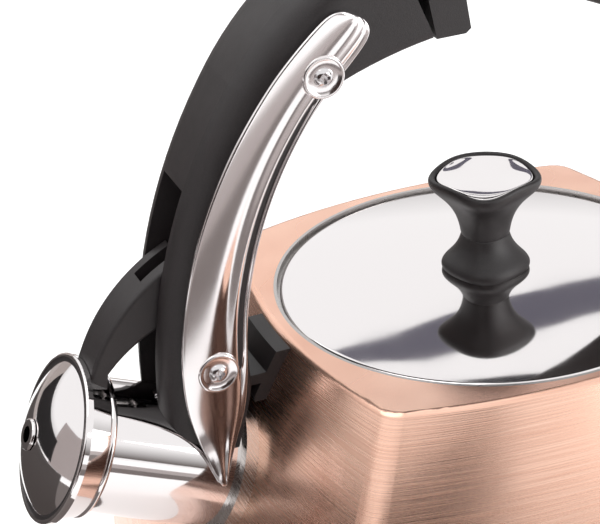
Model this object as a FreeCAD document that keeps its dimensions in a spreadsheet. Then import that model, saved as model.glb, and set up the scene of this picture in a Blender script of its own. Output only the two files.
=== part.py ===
import FreeCAD, Part

import math
import os
import re

import Sketcher

# Whistling kettle with a C-shaped handle.  Millimetres, +Z up, origin at the centre of the flat
# base.  The spout points along -X, and the XZ plane is the plane of symmetry of everything but
# the knob, which is turned a little about Z.

SIZES = {
    # vessel: a flared pot whose plan is a square with bowed sides and rounded corners
    "deck_height": 125.0,        # top face of the vessel above the table
    "deck_half": 56.0,           # half of the square, corner to corner, at the deck
    "neck_height": 104.0,        # the wall's first knee below the deck
    "neck_half": 68.0,
    "belly_height": 75.0,
    "belly_half": 81.5,
    "skirt_height": 12.0,        # where the wall meets the base pan
    "skirt_half": 97.0,
    "side_bow": 9.0,             # how far a side bows out beyond its corners
    "deck_corner": 7.0,          # corner radius at the deck
    "skirt_corner": 12.0,        # corner radius at the base pan
    "shell_wall": 0.8,
    "deck_round": 2.2,
    "pan_round": 7.0,
    "pan_floor": 1.2,
    "pan_lift": 2.0,             # underside of the pan above the table
    "disc_radius": 78.0,
    "disc_bevel": 1.0,
    # lid and its seat
    "lid_radius": 60.0,
    "lid_sink": 1.3,             # the lid's edge lies this far below the deck
    "lid_gap": 0.8,              # between the lid's edge and the seat wall
    "lid_rise": 4.2,             # height of the dome
    "lid_sheet": 0.8,
    "lid_hem": 1.0,              # height of the rolled edge
    "seat_wall": 0.9,
    "seat_depth": 2.4,
    "mouth_radius": 51.0,
    "mouth_neck": 4.0,           # height of the turned-down neck
    "skirt_drop": 9.0,           # length of the lid's inner skirt
    "skirt_gap": 1.6,            # between the lid's skirt and the mouth
    "gasket_bead": 1.2,
    "gasket_height": 2.4,
    # knob
    "knob_turn": 18.0,
    "knob_height": 26.8,
    "knob_foot_half": 10.0,
    "knob_waist_half": 6.0,
    "knob_top_half": 12.6,
    "knob_foot_height": 4.0,
    "knob_split": 12.5,          # seam between the two mouldings
    "knob_rim": 4.2,             # thickness of the top plate
    "knob_corner": 3.4,
    "knob_bow": 0.4,
    "inlay_margin": 1.5,
    "inlay_depth": 1.0,
    "knob_screw_radius": 2.0,
    "knob_screw_head": 4.2,
    "knob_screw_depth": 20.0,    # how far the screw reaches into the knob
    "washer_radius": 7.0,
    "washer_sheet": 1.0,
    # spout
    "mouth_x": 124.6,            # centre of the spout's mouth, in front of the axis
    "mouth_drop": 19.2,          # and below the lid's edge
    "spout_tilt": 25.0,
    "spout_front_radius": 18.6,
    "spout_root_radius": 20.2,
    "spout_length": 52.0,
    "spout_wall": 1.2,
    "lip_radius": 21.0,
    "lip_width": 1.8,
    "collar_width": 2.4,
    "collar_stand": 4.2,         # height of the collar over the vessel's side
    # whistle cap, measured along the spout's axis from the mouth
    "cap_gap": 0.3,
    "cap_back_radius": 21.0,
    "cap_front_radius": 22.3,
    "rim_radius": 23.5,
    "rim_start": 6.4,
    "rim_width": 2.0,
    "rim_face": 1.2,
    "cap_sheet": 0.8,
    "groove_width": 1.3,
    "dome_rise": 6.8,
    "eyelet_radius": 4.4,
    "eyelet_bore": 2.3,
    "whistle_depth": 4.2,
    "whistle_bore": 1.8,
    "seal_bore": 15.0,
    "seal_height": 1.6,
    # handle: an oval C that stands on the spout side and ends free over the back
    "handle_drop": 10.0,         # centre of the oval below the lid's edge
    "handle_reach": 103.5,
    "handle_rise": 129.5,
    "crown_radius": 92.0,
    "handle_width": 31.0,
    "leg_reach": 78.3,           # inner face of the leg
    "slot_floor": 5.6,
    "leg_bottom": 14.0,
    "leg_heel": 84.0,
    "leg_inner_radius": 107.0,
    "shoulder_reach": 51.4,
    "shoulder_rise": 83.8,
    "palm_reach": 21.3,
    "palm_rise": 92.4,
    "well_rise": 110.0,          # hollow above the trigger's button
    "well_lean": 7.2,
    "well_rear": 8.0,
    "notch_rise": 102.5,
    "notch_rear": 24.5,
    "bump_drop": 8.5,
    "bump_length": 4.5,
    "bump_fall": 2.0,
    "palm_radius": 120.0,
    "tail_rise": 58.0,
    "tail_inner_reach": 66.0,
    "tail_inner_rise": 53.0,
    "tail_round": 15.0,
    "tail_inner_radius": 78.0,
    "handle_outer_round": 8.0,
    "handle_inner_round": 3.0,
    "slot_width": 14.6,
    "slot_rise": 62.0,
    "slot_face_reach": 97.0,     # floor of the shallow recess around the leg screw
    "recess_bottom": 8.0,
    "channel_roof": 6.0,         # wall left outside the rod's channel
    "channel_rear": 9.0,
    "channel_margin": 8.0,
    "cover_sheet": 2.5,
    "fit_gap": 0.1,
    # polished side straps
    "strap_sheet": 1.8,
    "strap_lap": 1.6,            # black edge left showing along the inner side
    "strap_top_reach": 51.3,
    "strap_top_rise": 105.8,
    "strap_end_reach": 39.3,
    "strap_end_rise": 97.6,
    "strap_end_radius": 9.0,
    "strap_waist_reach": 57.3,
    "strap_waist_rise": 79.0,
    "strap_side_reach": 98.6,
    "strap_side_rise": 6.5,
    "strap_outer_radius": 123.0,
    "strap_tip_reach": 90.7,
    "strap_tip_drop": 22.6,
    "strap_heel_reach": 84.8,
    "strap_heel_drop": 11.5,
    "strap_round": 1.0,
    "dimple_radius": 5.4,
    "dimple_depth": 0.9,
    # fasteners and pins
    "screw_radius": 1.5,
    "screw_length": 7.0,
    "screw_head_radius": 2.8,
    "screw_head_height": 2.0,
    "screw_cross_width": 0.9,
    "screw_cross_length": 3.0,
    "screw_cross_depth": 1.1,
    "upper_screw_reach": 53.8,
    "upper_screw_rise": 89.5,
    "lower_screw_reach": 88.6,
    "lower_screw_rise": 11.9,
    "leg_screw_rise": 3.0,
    "leg_screw_length": 9.0,
    "bracket_sheet": 3.0,
    "bracket_width": 22.0,
    "bracket_reach": 95.5,
    "bracket_foot": 14.0,
    "bracket_foot_reach": 77.0,
    "bracket_inner_reach": 58.0,
    # cap arm, pull rod and trigger
    "pivot_reach": 87.0,
    "pivot_rise": 22.0,
    "pin_radius": 1.5,
    "pin_inset": 1.0,            # each hinge pin ends this far inside the handle's sides
    "running_gap": 0.05,
    "arm_width": 13.4,
    "arm_hub": 5.5,
    "arm_fork": 5.4,
    "arm_root_reach": 93.0,
    "arm_root_rise": 42.5,
    "arm_belly_reach": 97.0,
    "arm_belly_rise": 24.5,
    "arm_neck_reach": 116.2,
    "arm_neck_rise": 12.4,
    "arm_back_radius": 52.0,
    "arm_belly_radius": 41.0,
    "arm_round": 1.2,
    "fork_depth": 3.0,           # the fork's floor, in front of the arm's root
    "fork_lean": 12.0,           # its floor leans forward to pass the rod when open
    "link_throw": 4.5,
    "link_lead": 20.0,           # the rod's front pin lies this angle below the pivot
    "link_pin_radius": 1.0,
    "link_hole_gap": 0.7,        # play of the rod on its two pins
    "link_eye": 2.5,
    "link_sag": 24.0,
    "link_thickness": 4.0,
    "crank_lead": 7.0,           # the crank leans this angle to the front
    "trigger_reach": 2.0,        # trigger pivot, behind the axis
    "trigger_rise": 106.0,
    "trigger_hub": 4.3,
    "crank_length": 12.0,
    "crank_width": 13.6,
    "crank_slot": 5.0,
    "crank_slot_rise": 110.5,
    "crank_tip": 3.2,
    "button_width": 29.0,
    "button_gap": 0.7,
    "button_length": 8.4,
    "button_step": 1.5,
    "button_lip": 1.2,
    "button_lean": 2.1,
    "button_top": 103.3,
    "button_web": 5.5,
    "spring_offset": 10.2,
    "spring_wire": 0.5,
    "spring_radius": 2.6,
    "spring_turns": 4.0,
}

DOC = FreeCAD.newDocument("kettle")
SHEET = DOC.addObject("Spreadsheet::Sheet", "Sizes")
for row, (alias, size) in enumerate(SIZES.items(), start=1):
    SHEET.set(f"A{row}", alias)
    SHEET.set(f"B{row}", str(size))
    SHEET.setAlias(f"B{row}", alias)
DOC.recompute()

SUB_PARTS = []

# Heights and radii that several sub-parts share, as formulas of the sheet.
LID_PLANE = "(deck_height - lid_sink)"
OVAL = "(deck_height - lid_sink - handle_drop)"
FLANK = ("((handle_reach^2 + (handle_rise - crown_radius)^2 - crown_radius^2)"
         " / (2 * (handle_reach - crown_radius)))")
SEAT_RADIUS = "(lid_radius + lid_gap)"


def number(formula):
    """The value of a formula of the sheet's names."""
    return float(SHEET.evalExpression(str(formula)))


def bound(formula):
    """The same formula, as another object has to write it."""
    return re.sub(r"[a-z][a-z0-9]*_[a-z0-9_]+", lambda found: "Sizes." + found.group(0), str(formula))


def bind(target, prop, formula):
    """Ties a property to a formula of the sheet."""
    target.setExpression(prop, bound(formula))


# ---------------------------------------------------------------- sketches

def new_body(label):
    body = DOC.addObject("PartDesign::Body", label)
    body.Label = label
    return body


def new_sketch(body, plane, name, offset="0"):
    """A sketch on one of the body's own planes, moved along that plane's normal."""
    sketch = body.newObject("Sketcher::SketchObject", f"{body.Name}_{name}")
    support = [item for item in body.Origin.OriginFeatures if item.Role == plane][0]
    sketch.AttachmentSupport = (support, [""])
    sketch.MapMode = "FlatFace"
    bind(sketch, "AttachmentOffset.Base.z", offset)
    return sketch


def dimension(sketch, kind, formula, *where):
    """Adds one dimension and binds it to its formula."""
    index = sketch.addConstraint(Sketcher.Constraint(kind, *where, number(formula)))
    bind(sketch, f"Constraints[{index}]", formula)


def draw_circle(sketch, x, y, radius):
    place = FreeCAD.Vector(number(x), number(y), 0)
    circle = sketch.addGeometry(Part.Circle(place, FreeCAD.Vector(0, 0, 1), number(radius)))
    dimension(sketch, "DistanceX", x, -1, 1, circle, 3)
    dimension(sketch, "DistanceY", y, -1, 1, circle, 3)
    dimension(sketch, "Radius", radius, circle)


def arc_between(start, end, radius, left):
    """The short arc from start to end, its centre on the left or right of the way."""
    chord = end - start
    half = chord.Length / 2
    rise = math.sqrt(max(radius * radius - half * half, 0.0))
    side = FreeCAD.Vector(-chord.y, chord.x, 0)
    side.normalize()
    centre = (start + end) * 0.5 + side * (rise if left else -rise)
    first, last = (start, end) if left else (end, start)
    angles = [math.atan2(point.y - centre.y, point.x - centre.x) for point in (first, last)]
    circle = Part.Circle(centre, FreeCAD.Vector(0, 0, 1), radius)
    return Part.ArcOfCircle(circle, angles[0], angles[1])


def draw_outline(sketch, corners, arcs=None):
    """A closed outline.  Each corner is two formulas.  arcs gives, for a side by its first
    corner's number, the radius of the arc that replaces the straight line, with a minus sign
    when the way along the outline bends to the right."""
    arcs = arcs or {}
    points = [FreeCAD.Vector(number(x), number(y), 0) for x, y in corners]
    ends = []
    for index, start in enumerate(points):
        end = points[(index + 1) % len(points)]
        if index in arcs:
            left = not arcs[index].startswith("-")
            formula = arcs[index].lstrip("-")
            side = sketch.addGeometry(arc_between(start, end, number(formula), left))
            ends.append((side, 1, 2) if left else (side, 2, 1))
        else:
            side = sketch.addGeometry(Part.LineSegment(start, end))
            ends.append((side, 1, 2))
    for index, (x, y) in enumerate(corners):
        side, first, _ = ends[index]
        before, _, last = ends[index - 1]
        sketch.addConstraint(Sketcher.Constraint("Coincident", before, last, side, first))
        dimension(sketch, "DistanceX", x, -1, 1, side, first)
        dimension(sketch, "DistanceY", y, -1, 1, side, first)
        if index in arcs:
            dimension(sketch, "Radius", arcs[index].lstrip("-"), side)


def draw_bowed_square(sketch, half, bow, corner):
    """A square of corners at +-half whose sides bow out as arcs, with rounded corners."""
    big = f"((({half})^2 + ({bow})^2) / (2 * ({bow})))"
    back = f"({big} - ({half}) - ({bow}))"
    radius = number(big)
    inset = number(back)
    small = number(corner)
    reach = radius - small
    diagonal = (math.sqrt(2 * reach * reach - inset * inset) - inset) / 2
    sides = []
    rounds = []
    for quarter in range(4):
        turn = FreeCAD.Rotation(FreeCAD.Vector(0, 0, 1), 90 * quarter)
        centre = turn.multVec(FreeCAD.Vector(-inset, 0, 0))
        angle = math.atan2(diagonal, diagonal + inset)
        way = math.radians(90 * quarter)
        circle = Part.Circle(centre, FreeCAD.Vector(0, 0, 1), radius)
        sides.append(sketch.addGeometry(Part.ArcOfCircle(circle, way - angle, way + angle)))
        middle = turn.multVec(FreeCAD.Vector(diagonal, diagonal, 0))
        bend = Part.Circle(middle, FreeCAD.Vector(0, 0, 1), small)
        rounds.append(sketch.addGeometry(
            Part.ArcOfCircle(bend, way + angle, way + math.pi / 2 - angle)))
    for quarter in range(4):
        side = sides[quarter]
        sketch.addConstraint(Sketcher.Constraint("Tangent", side, 2, rounds[quarter], 1))
        sketch.addConstraint(Sketcher.Constraint("Tangent", rounds[quarter], 2, sides[(quarter + 1) % 4], 1))
        dimension(sketch, "Radius", big, side)
        dimension(sketch, "Radius", corner, rounds[quarter])
        along, across = ("DistanceX", "DistanceY") if quarter % 2 == 0 else ("DistanceY", "DistanceX")
        sign = "-" if quarter < 2 else ""
        dimension(sketch, along, f"{sign}{back}", -1, 1, side, 3)
        dimension(sketch, across, "0", -1, 1, side, 3)


# ---------------------------------------------------------------- features

def pad(body, sketch, length, name, both_sides=True):
    feature = body.newObject("PartDesign::Pad", f"{body.Name}_{name}")
    feature.Profile = sketch
    feature.SideType = "Symmetric" if both_sides else "One side"
    bind(feature, "Length", length)
    DOC.recompute()
    return feature


def pocket(body, sketch, length, name, both_sides=True, reverse=False):
    """Cuts a sketch out of the body, and stops when nothing was cut."""
    before = body.Tip.Shape.Volume
    feature = body.newObject("PartDesign::Pocket", f"{body.Name}_{name}")
    feature.Profile = sketch
    feature.SideType = "Symmetric" if both_sides else "One side"
    feature.Reversed = reverse
    bind(feature, "Length", length)
    DOC.recompute()
    if feature.Shape.Volume > before - 0.01:
        raise ValueError(f"{feature.Name} cuts nothing")
    return feature


def turn_round(body, sketch, name="turning"):
    feature = body.newObject("PartDesign::Revolution", f"{body.Name}_{name}")
    feature.Profile = sketch
    feature.ReferenceAxis = (sketch, ["V_Axis"])
    feature.Angle = 360.0
    DOC.recompute()
    return feature


def loft(body, sketches, name, cut=False):
    kind = "PartDesign::SubtractiveLoft" if cut else "PartDesign::AdditiveLoft"
    feature = body.newObject(kind, f"{body.Name}_{name}")
    feature.Profile = sketches[0]
    feature.Sections = sketches[1:]
    DOC.recompute()
    return feature


def fillet(body, radius, name, chosen):
    """Rounds the edges of the body's last feature that chosen accepts."""
    base = body.Tip
    names = [f"Edge{index}" for index, edge in enumerate(base.Shape.Edges, start=1) if chosen(edge)]
    if not names:
        raise ValueError(f"{body.Name}: no edge for {name}")
    feature = body.newObject("PartDesign::Fillet", f"{body.Name}_{name}")
    feature.Base = (base, names)
    bind(feature, "Radius", radius)
    DOC.recompute()
    return feature


def place(target, x="0", y="0", z="0", axis=(0, 0, 1), angle="0"):
    """Puts a sub-part in the kettle's frame, by formulas."""
    where = FreeCAD.Vector(number(x), number(y), number(z))
    rotation = FreeCAD.Rotation(FreeCAD.Vector(*axis), number(angle))
    target.Placement = FreeCAD.Placement(where, rotation)
    for side, formula in (("x", x), ("y", y), ("z", z)):
        bind(target, f"Placement.Base.{side}", formula)
    if number(angle) != 0:
        bind(target, "Placement.Rotation.Angle", angle)


def combine(kind, label, base, *tools):
    """A Part boolean of a base with one or more tools, one after another."""
    result = base
    for index, tool in enumerate(tools):
        last = index == len(tools) - 1
        feature = DOC.addObject(f"Part::{kind}", label if last else f"{label}_{kind}{index}")
        feature.Base = result
        feature.Tool = tool
        DOC.recompute()
        result = feature
    result.Label = label
    return result


def sub_part(feature):
    """Names a finished sub-part for the export."""
    SUB_PARTS.append(feature)
    return feature


def turned(label, corners, arcs=None, **where):
    """A sub-part turned about its own Z axis; corners are (radius, height) formulas."""
    body = new_body(label)
    sketch = new_sketch(body, "XZ_Plane", "outline")
    draw_outline(sketch, corners, arcs)
    turn_round(body, sketch)
    if where:
        place(body, **where)
    return body


def side_plate(label, corners, arcs, width, offset="0"):
    """A sub-part cut from the XZ plane to an even width, its middle at y = -offset."""
    body = new_body(label)
    sketch = new_sketch(body, "XZ_Plane", "outline", offset)
    draw_outline(sketch, corners, arcs)
    pad(body, sketch, width, "pad")
    return body


def cylinder(name, radius, height, **where):
    tool = DOC.addObject("Part::Cylinder", name)
    bind(tool, "Radius", radius)
    bind(tool, "Height", height)
    place(tool, **where)
    DOC.recompute()
    return tool


def box(name, length, width, height, **where):
    tool = DOC.addObject("Part::Box", name)
    bind(tool, "Length", length)
    bind(tool, "Width", width)
    bind(tool, "Height", height)
    place(tool, **where)
    DOC.recompute()
    return tool


SPOUT_AXIS = {
    "x": "-mouth_x",
    "z": f"{LID_PLANE} - mouth_drop",
    "axis": (0, -1, 0),
    "angle": "90 - spout_tilt",
}


# ---------------------------------------------------------------- vessel

WALL_INSET = "(shell_wall * 1.2)"
MIDDLE_CORNER = "((deck_corner + skirt_corner) / 2)"
NECK_CORNER = "((3 * deck_corner + skirt_corner) / 4)"
DECK_SLANT = "((neck_half - deck_half) / (deck_height - neck_height))"
VESSEL_SECTIONS = (
    ("skirt_height", "skirt_half", "skirt_corner"),
    ("belly_height", "belly_half", MIDDLE_CORNER),
    ("neck_height", "neck_half", NECK_CORNER),
    ("deck_height", "deck_half", "deck_corner"),
)


def vessel_sketches(body, name, growth, top=None):
    """The plan of the vessel at each height, all grown outwards by one amount."""
    sketches = []
    for index, (height, half, corner) in enumerate(VESSEL_SECTIONS):
        if top and index == len(VESSEL_SECTIONS) - 1:
            height, half = top
        sketch = new_sketch(body, "XY_Plane", f"{name}{index}", height)
        draw_bowed_square(sketch, f"({half} + {growth})", "side_bow", f"({corner} + {growth} * 0.5)")
        sketches.append(sketch)
    return sketches


def vessel_form(label, growth="0"):
    """The solid inside the vessel's outer skin, or a grown copy of it, as a tool for cuts."""
    body = new_body(label)
    loft(body, vessel_sketches(body, "plan", growth), "loft")
    return body


def body_shell(bore_tool):
    body = new_body("body_shell_stock")
    loft(body, vessel_sketches(body, "outer", "0"), "outside")
    inner_top = ("deck_height - shell_wall", f"deck_half + shell_wall * {DECK_SLANT}")
    loft(body, vessel_sketches(body, "inner", f"(0 - {WALL_INSET})", inner_top), "inside", cut=True)
    hole = new_sketch(body, "XY_Plane", "hole", "deck_height")
    draw_circle(hole, "0", "0", f"({SEAT_RADIUS} + seat_wall)")
    pocket(body, hole, "shell_wall * 2", "mouth", both_sides=False)
    top = number("deck_height")
    limit = number(SEAT_RADIUS) + number("seat_wall") + 1
    fillet(body, "deck_round", "deck_edge", lambda edge: (
        all(abs(vertex.Z - top) < 0.01 for vertex in edge.Vertexes)
        and math.hypot(edge.Vertexes[0].X, edge.Vertexes[0].Y) > limit))
    return sub_part(combine("Cut", "body_shell", body, bore_tool))


def base_pan():
    body = new_body("base_pan")
    plan = new_sketch(body, "XY_Plane", "plan", "pan_lift")
    draw_bowed_square(plan, "skirt_half", "side_bow", "skirt_corner")
    pad(body, plan, "skirt_height - pan_lift", "pad", both_sides=False)
    inside = new_sketch(body, "XY_Plane", "inside", "skirt_height")
    draw_bowed_square(inside, f"(skirt_half - {WALL_INSET})", "side_bow",
                      f"(skirt_corner - {WALL_INSET} * 0.5)")
    pocket(body, inside, "skirt_height - pan_lift - pan_floor", "hollow", both_sides=False)
    for name, height, radius in (("inner", "pan_lift + pan_floor", f"pan_round - {WALL_INSET}"),
                                 ("outer", "pan_lift", "pan_round")):
        level = number(height)
        fillet(body, radius, f"{name}_round", lambda edge: (
            all(abs(vertex.Z - level) < 0.01 for vertex in edge.Vertexes)))
    return sub_part(body)


def base_disc():
    return sub_part(turned("base_disc", [
        ("0", "0"),
        ("disc_radius - disc_bevel", "0"),
        ("disc_radius", "disc_bevel"),
        ("disc_radius", "pan_lift"),
        ("0", "pan_lift"),
    ]))


def lid_seat_ring():
    outer = f"({SEAT_RADIUS} + seat_wall)"
    floor = "(deck_height - seat_depth)"
    return sub_part(turned("lid_seat_ring", [
        (outer, "deck_height"),
        (SEAT_RADIUS, "deck_height"),
        (SEAT_RADIUS, floor),
        ("mouth_radius", floor),
        ("mouth_radius", f"({floor} - mouth_neck)"),
        ("mouth_radius + seat_wall", f"({floor} - mouth_neck)"),
        ("mouth_radius + seat_wall", f"({floor} - seat_wall)"),
        (outer, f"({floor} - seat_wall)"),
    ]))


# ---------------------------------------------------------------- lid and knob

LID_TOP = f"({LID_PLANE} + lid_rise)"
DOME = "((lid_radius^2 + lid_rise^2) / (2 * lid_rise))"
LID_SKIRT_RADIUS = "(mouth_radius - skirt_gap)"


def under_lid(radius):
    """Height just under the lid's sheet at a radius."""
    return f"({LID_TOP} - lid_sheet - fit_gap - ({radius})^2 * lid_rise / lid_radius^2)"


def lid_cover():
    return sub_part(turned("lid_cover", [
        ("knob_screw_radius", LID_TOP),
        ("lid_radius", LID_PLANE),
        ("lid_radius", f"({LID_PLANE} - lid_hem)"),
        ("lid_radius - lid_sheet", f"({LID_PLANE} - lid_hem)"),
        ("lid_radius - lid_sheet", f"({LID_PLANE} - lid_sheet)"),
        ("knob_screw_radius", f"({LID_TOP} - lid_sheet)"),
    ], {0: f"-{DOME}", 4: DOME}))


def lid_skirt():
    inner = f"({LID_SKIRT_RADIUS} - lid_sheet)"
    return sub_part(turned("lid_skirt", [
        (LID_SKIRT_RADIUS, under_lid(LID_SKIRT_RADIUS)),
        (inner, under_lid(LID_SKIRT_RADIUS)),
        (inner, f"({LID_PLANE} - skirt_drop)"),
        (LID_SKIRT_RADIUS, f"({LID_PLANE} - skirt_drop)"),
    ]))


def lid_gasket():
    middle = "(deck_height - seat_depth - mouth_neck / 2)"
    outer = f"({LID_SKIRT_RADIUS} + gasket_bead)"
    return sub_part(turned("lid_gasket", [
        (LID_SKIRT_RADIUS, f"({middle} - gasket_height / 2)"),
        (outer, f"({middle} - gasket_height / 4)"),
        (outer, f"({middle} + gasket_height / 4)"),
        (LID_SKIRT_RADIUS, f"({middle} + gasket_height / 2)"),
    ], {1: "gasket_height"}))


def knob_part(label, sections):
    """A moulding of the knob, lofted through squares given as (height, half) formulas."""
    body = new_body(label)
    sketches = []
    for index, (height, half) in enumerate(sections):
        sketch = new_sketch(body, "XY_Plane", f"plan{index}", height)
        draw_bowed_square(sketch, half, "knob_bow", "knob_corner")
        sketches.append(sketch)
    loft(body, sketches, "loft")
    place(body, z=LID_TOP, angle="knob_turn")
    return body


def knob_foot():
    body = knob_part("knob_foot", [
        ("0", "knob_foot_half"),
        ("knob_foot_height", "knob_foot_half - 1"),
        ("knob_split", "knob_waist_half"),
    ])
    hole = new_sketch(body, "XY_Plane", "hole")
    draw_circle(hole, "0", "0", "knob_screw_radius")
    pocket(body, hole, "knob_split", "screw_hole", both_sides=False, reverse=True)
    return sub_part(body)


def knob_grip():
    body = knob_part("knob_grip", [
        ("knob_split", "knob_waist_half"),
        ("(knob_split + knob_height - knob_rim) / 2", "knob_waist_half + 1"),
        ("knob_height - knob_rim", "knob_top_half - 1.6"),
        ("knob_height", "knob_top_half"),
    ])
    inset = new_sketch(body, "XY_Plane", "inset", "knob_height")
    draw_bowed_square(inset, "(knob_top_half - inlay_margin)", "knob_bow", "knob_corner")
    pocket(body, inset, "inlay_depth", "recess", both_sides=False)
    hole = new_sketch(body, "XY_Plane", "hole", "knob_split")
    draw_circle(hole, "0", "0", "knob_screw_radius")
    pocket(body, hole, "knob_screw_depth - knob_split", "screw_hole", both_sides=False, reverse=True)
    return sub_part(body)


def knob_inlay():
    body = new_body("knob_inlay")
    plan = new_sketch(body, "XY_Plane", "plan", "knob_height - inlay_depth")
    draw_bowed_square(plan, "(knob_top_half - inlay_margin)", "knob_bow", "knob_corner")
    pad(body, plan, "inlay_depth", "pad", both_sides=False)
    place(body, z=LID_TOP, angle="knob_turn")
    return sub_part(body)


def lid_washer():
    top = under_lid("washer_radius")
    return sub_part(turned("lid_washer", [
        ("knob_screw_radius", f"({top} - washer_sheet)"),
        ("washer_radius", f"({top} - washer_sheet)"),
        ("washer_radius", top),
        ("knob_screw_radius", top),
    ]))


def knob_screw():
    seat = f"({under_lid('washer_radius')} - washer_sheet)"
    return sub_part(turned("knob_screw", [
        ("0", f"({seat} - screw_head_height)"),
        ("knob_screw_head - 1", f"({seat} - screw_head_height)"),
        ("knob_screw_head", seat),
        ("knob_screw_radius", seat),
        ("knob_screw_radius", f"({LID_TOP} + knob_screw_depth)"),
        ("0", f"({LID_TOP} + knob_screw_depth)"),
    ]))


# ---------------------------------------------------------------- spout

SPOUT_BORE = "(spout_front_radius - spout_wall)"
SPOUT_ROOT = {
    "x": "spout_length * cos(spout_tilt) - mouth_x",
    "z": f"{LID_PLANE} - mouth_drop - spout_length * sin(spout_tilt)",
    "axis": (0, -1, 0),
    "angle": "90 - spout_tilt",
}


def spout_cone():
    """The spout's outer cone as a tool."""
    cone = DOC.addObject("Part::Cone", "spout_cone")
    bind(cone, "Radius1", "spout_root_radius")
    bind(cone, "Radius2", "spout_front_radius")
    bind(cone, "Height", "spout_length")
    place(cone, **SPOUT_ROOT)
    DOC.recompute()
    return cone


def spout_tube(form):
    stock = turned("spout_tube_stock", [
        (SPOUT_BORE, "0"),
        ("lip_radius - lip_width / 4", "0"),
        ("lip_radius - lip_width / 4", "0 - lip_width"),
        ("spout_front_radius", "0 - lip_width"),
        ("spout_root_radius", "0 - spout_length"),
        (SPOUT_BORE, "0 - spout_length"),
    ], {1: "-(lip_width * 0.6)"}, **SPOUT_AXIS)
    return sub_part(combine("Cut", "spout_tube", stock, form))


def spout_collar(form, grown_form, cone):
    outer = "(spout_root_radius + collar_width)"
    stock = turned("spout_collar_stock", [
        ("spout_front_radius", "0 - spout_length / 3"),
        (outer, "0 - spout_length / 3"),
        (outer, "0 - spout_length"),
        ("spout_front_radius", "0 - spout_length"),
    ], None, **SPOUT_AXIS)
    near = combine("Common", "spout_collar_near", stock, grown_form)
    return sub_part(combine("Cut", "spout_collar", near, form, cone))


# ---------------------------------------------------------------- handle
# These outlines are drawn in the XZ plane around the centre of the handle's oval.

CROWN_RISE = "(handle_rise - crown_radius)"
FLANK_GAP = f"({FLANK} - crown_radius)"
FLANK_SHIFT = f"({FLANK} - handle_reach)"


def flank_point(height, roof="0"):
    """Reach of the oval's side at a height, under a wall of roof."""
    return f"(sqrt(({FLANK} - {roof})^2 - ({height})^2) - {FLANK_SHIFT})"


def crown_joint(side, roof="0"):
    """Where the side of the oval meets its crown; side is -1 for the front."""
    reach = f"({side} * (crown_radius - {roof}) * {FLANK_SHIFT} / {FLANK_GAP})"
    rise = f"({CROWN_RISE} + (crown_radius - {roof}) * {CROWN_RISE} / {FLANK_GAP})"
    return reach, rise


def along_spout(out, side):
    """A point of the XZ plane, by its distance along the spout's axis and above it."""
    return (f"(({side}) * sin(spout_tilt) - mouth_x - ({out}) * cos(spout_tilt))",
            f"(handle_drop - mouth_drop + ({out}) * sin(spout_tilt) + ({side}) * cos(spout_tilt))")


def rounds_with(radii):
    """Chooses the long edges of a plate that follow arcs of the given radii."""
    wanted = [number(radius) for radius in radii]

    def chosen(edge):
        level = abs(edge.Vertexes[0].Y - edge.Vertexes[-1].Y) < 0.001
        curved = hasattr(edge.Curve, "Radius")
        return level and curved and any(abs(edge.Curve.Radius - radius) < 0.001 for radius in wanted)
    return chosen


FRAME_OUTLINE = [
    ("0 - handle_reach", "0"),
    crown_joint("-1"),
    crown_joint("1"),
    (flank_point("tail_rise"), "tail_rise"),
    ("tail_inner_reach", "tail_inner_rise"),
    ("notch_rear + bump_length", "notch_rise - bump_drop - bump_fall"),
    ("notch_rear", "notch_rise - bump_drop"),
    ("notch_rear", "notch_rise"),
    ("0 - well_rear", "notch_rise"),
    ("0 - well_rear", "well_rise"),
    ("0 - palm_reach - well_lean", "well_rise"),
    ("0 - palm_reach", "palm_rise"),
    ("0 - shoulder_reach", "shoulder_rise"),
    ("0 - leg_reach", "slot_floor"),
    ("0 - leg_heel", "0 - leg_bottom"),
    ("0 - handle_reach", "0 - leg_bottom"),
]
FRAME_ARCS = {
    0: f"-{FLANK}",
    1: "-crown_radius",
    2: f"-{FLANK}",
    3: "-tail_round",
    4: "tail_inner_radius",
    11: "palm_radius",
    12: "leg_inner_radius",
}
STRAP_SCREWS = (
    ("0 - upper_screw_reach", "upper_screw_rise"),
    ("0 - lower_screw_reach", "lower_screw_rise"),
)
PIVOT = ("0 - pivot_reach", "pivot_rise")
TRIGGER_PIVOT = ("trigger_reach", "trigger_rise")


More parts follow.
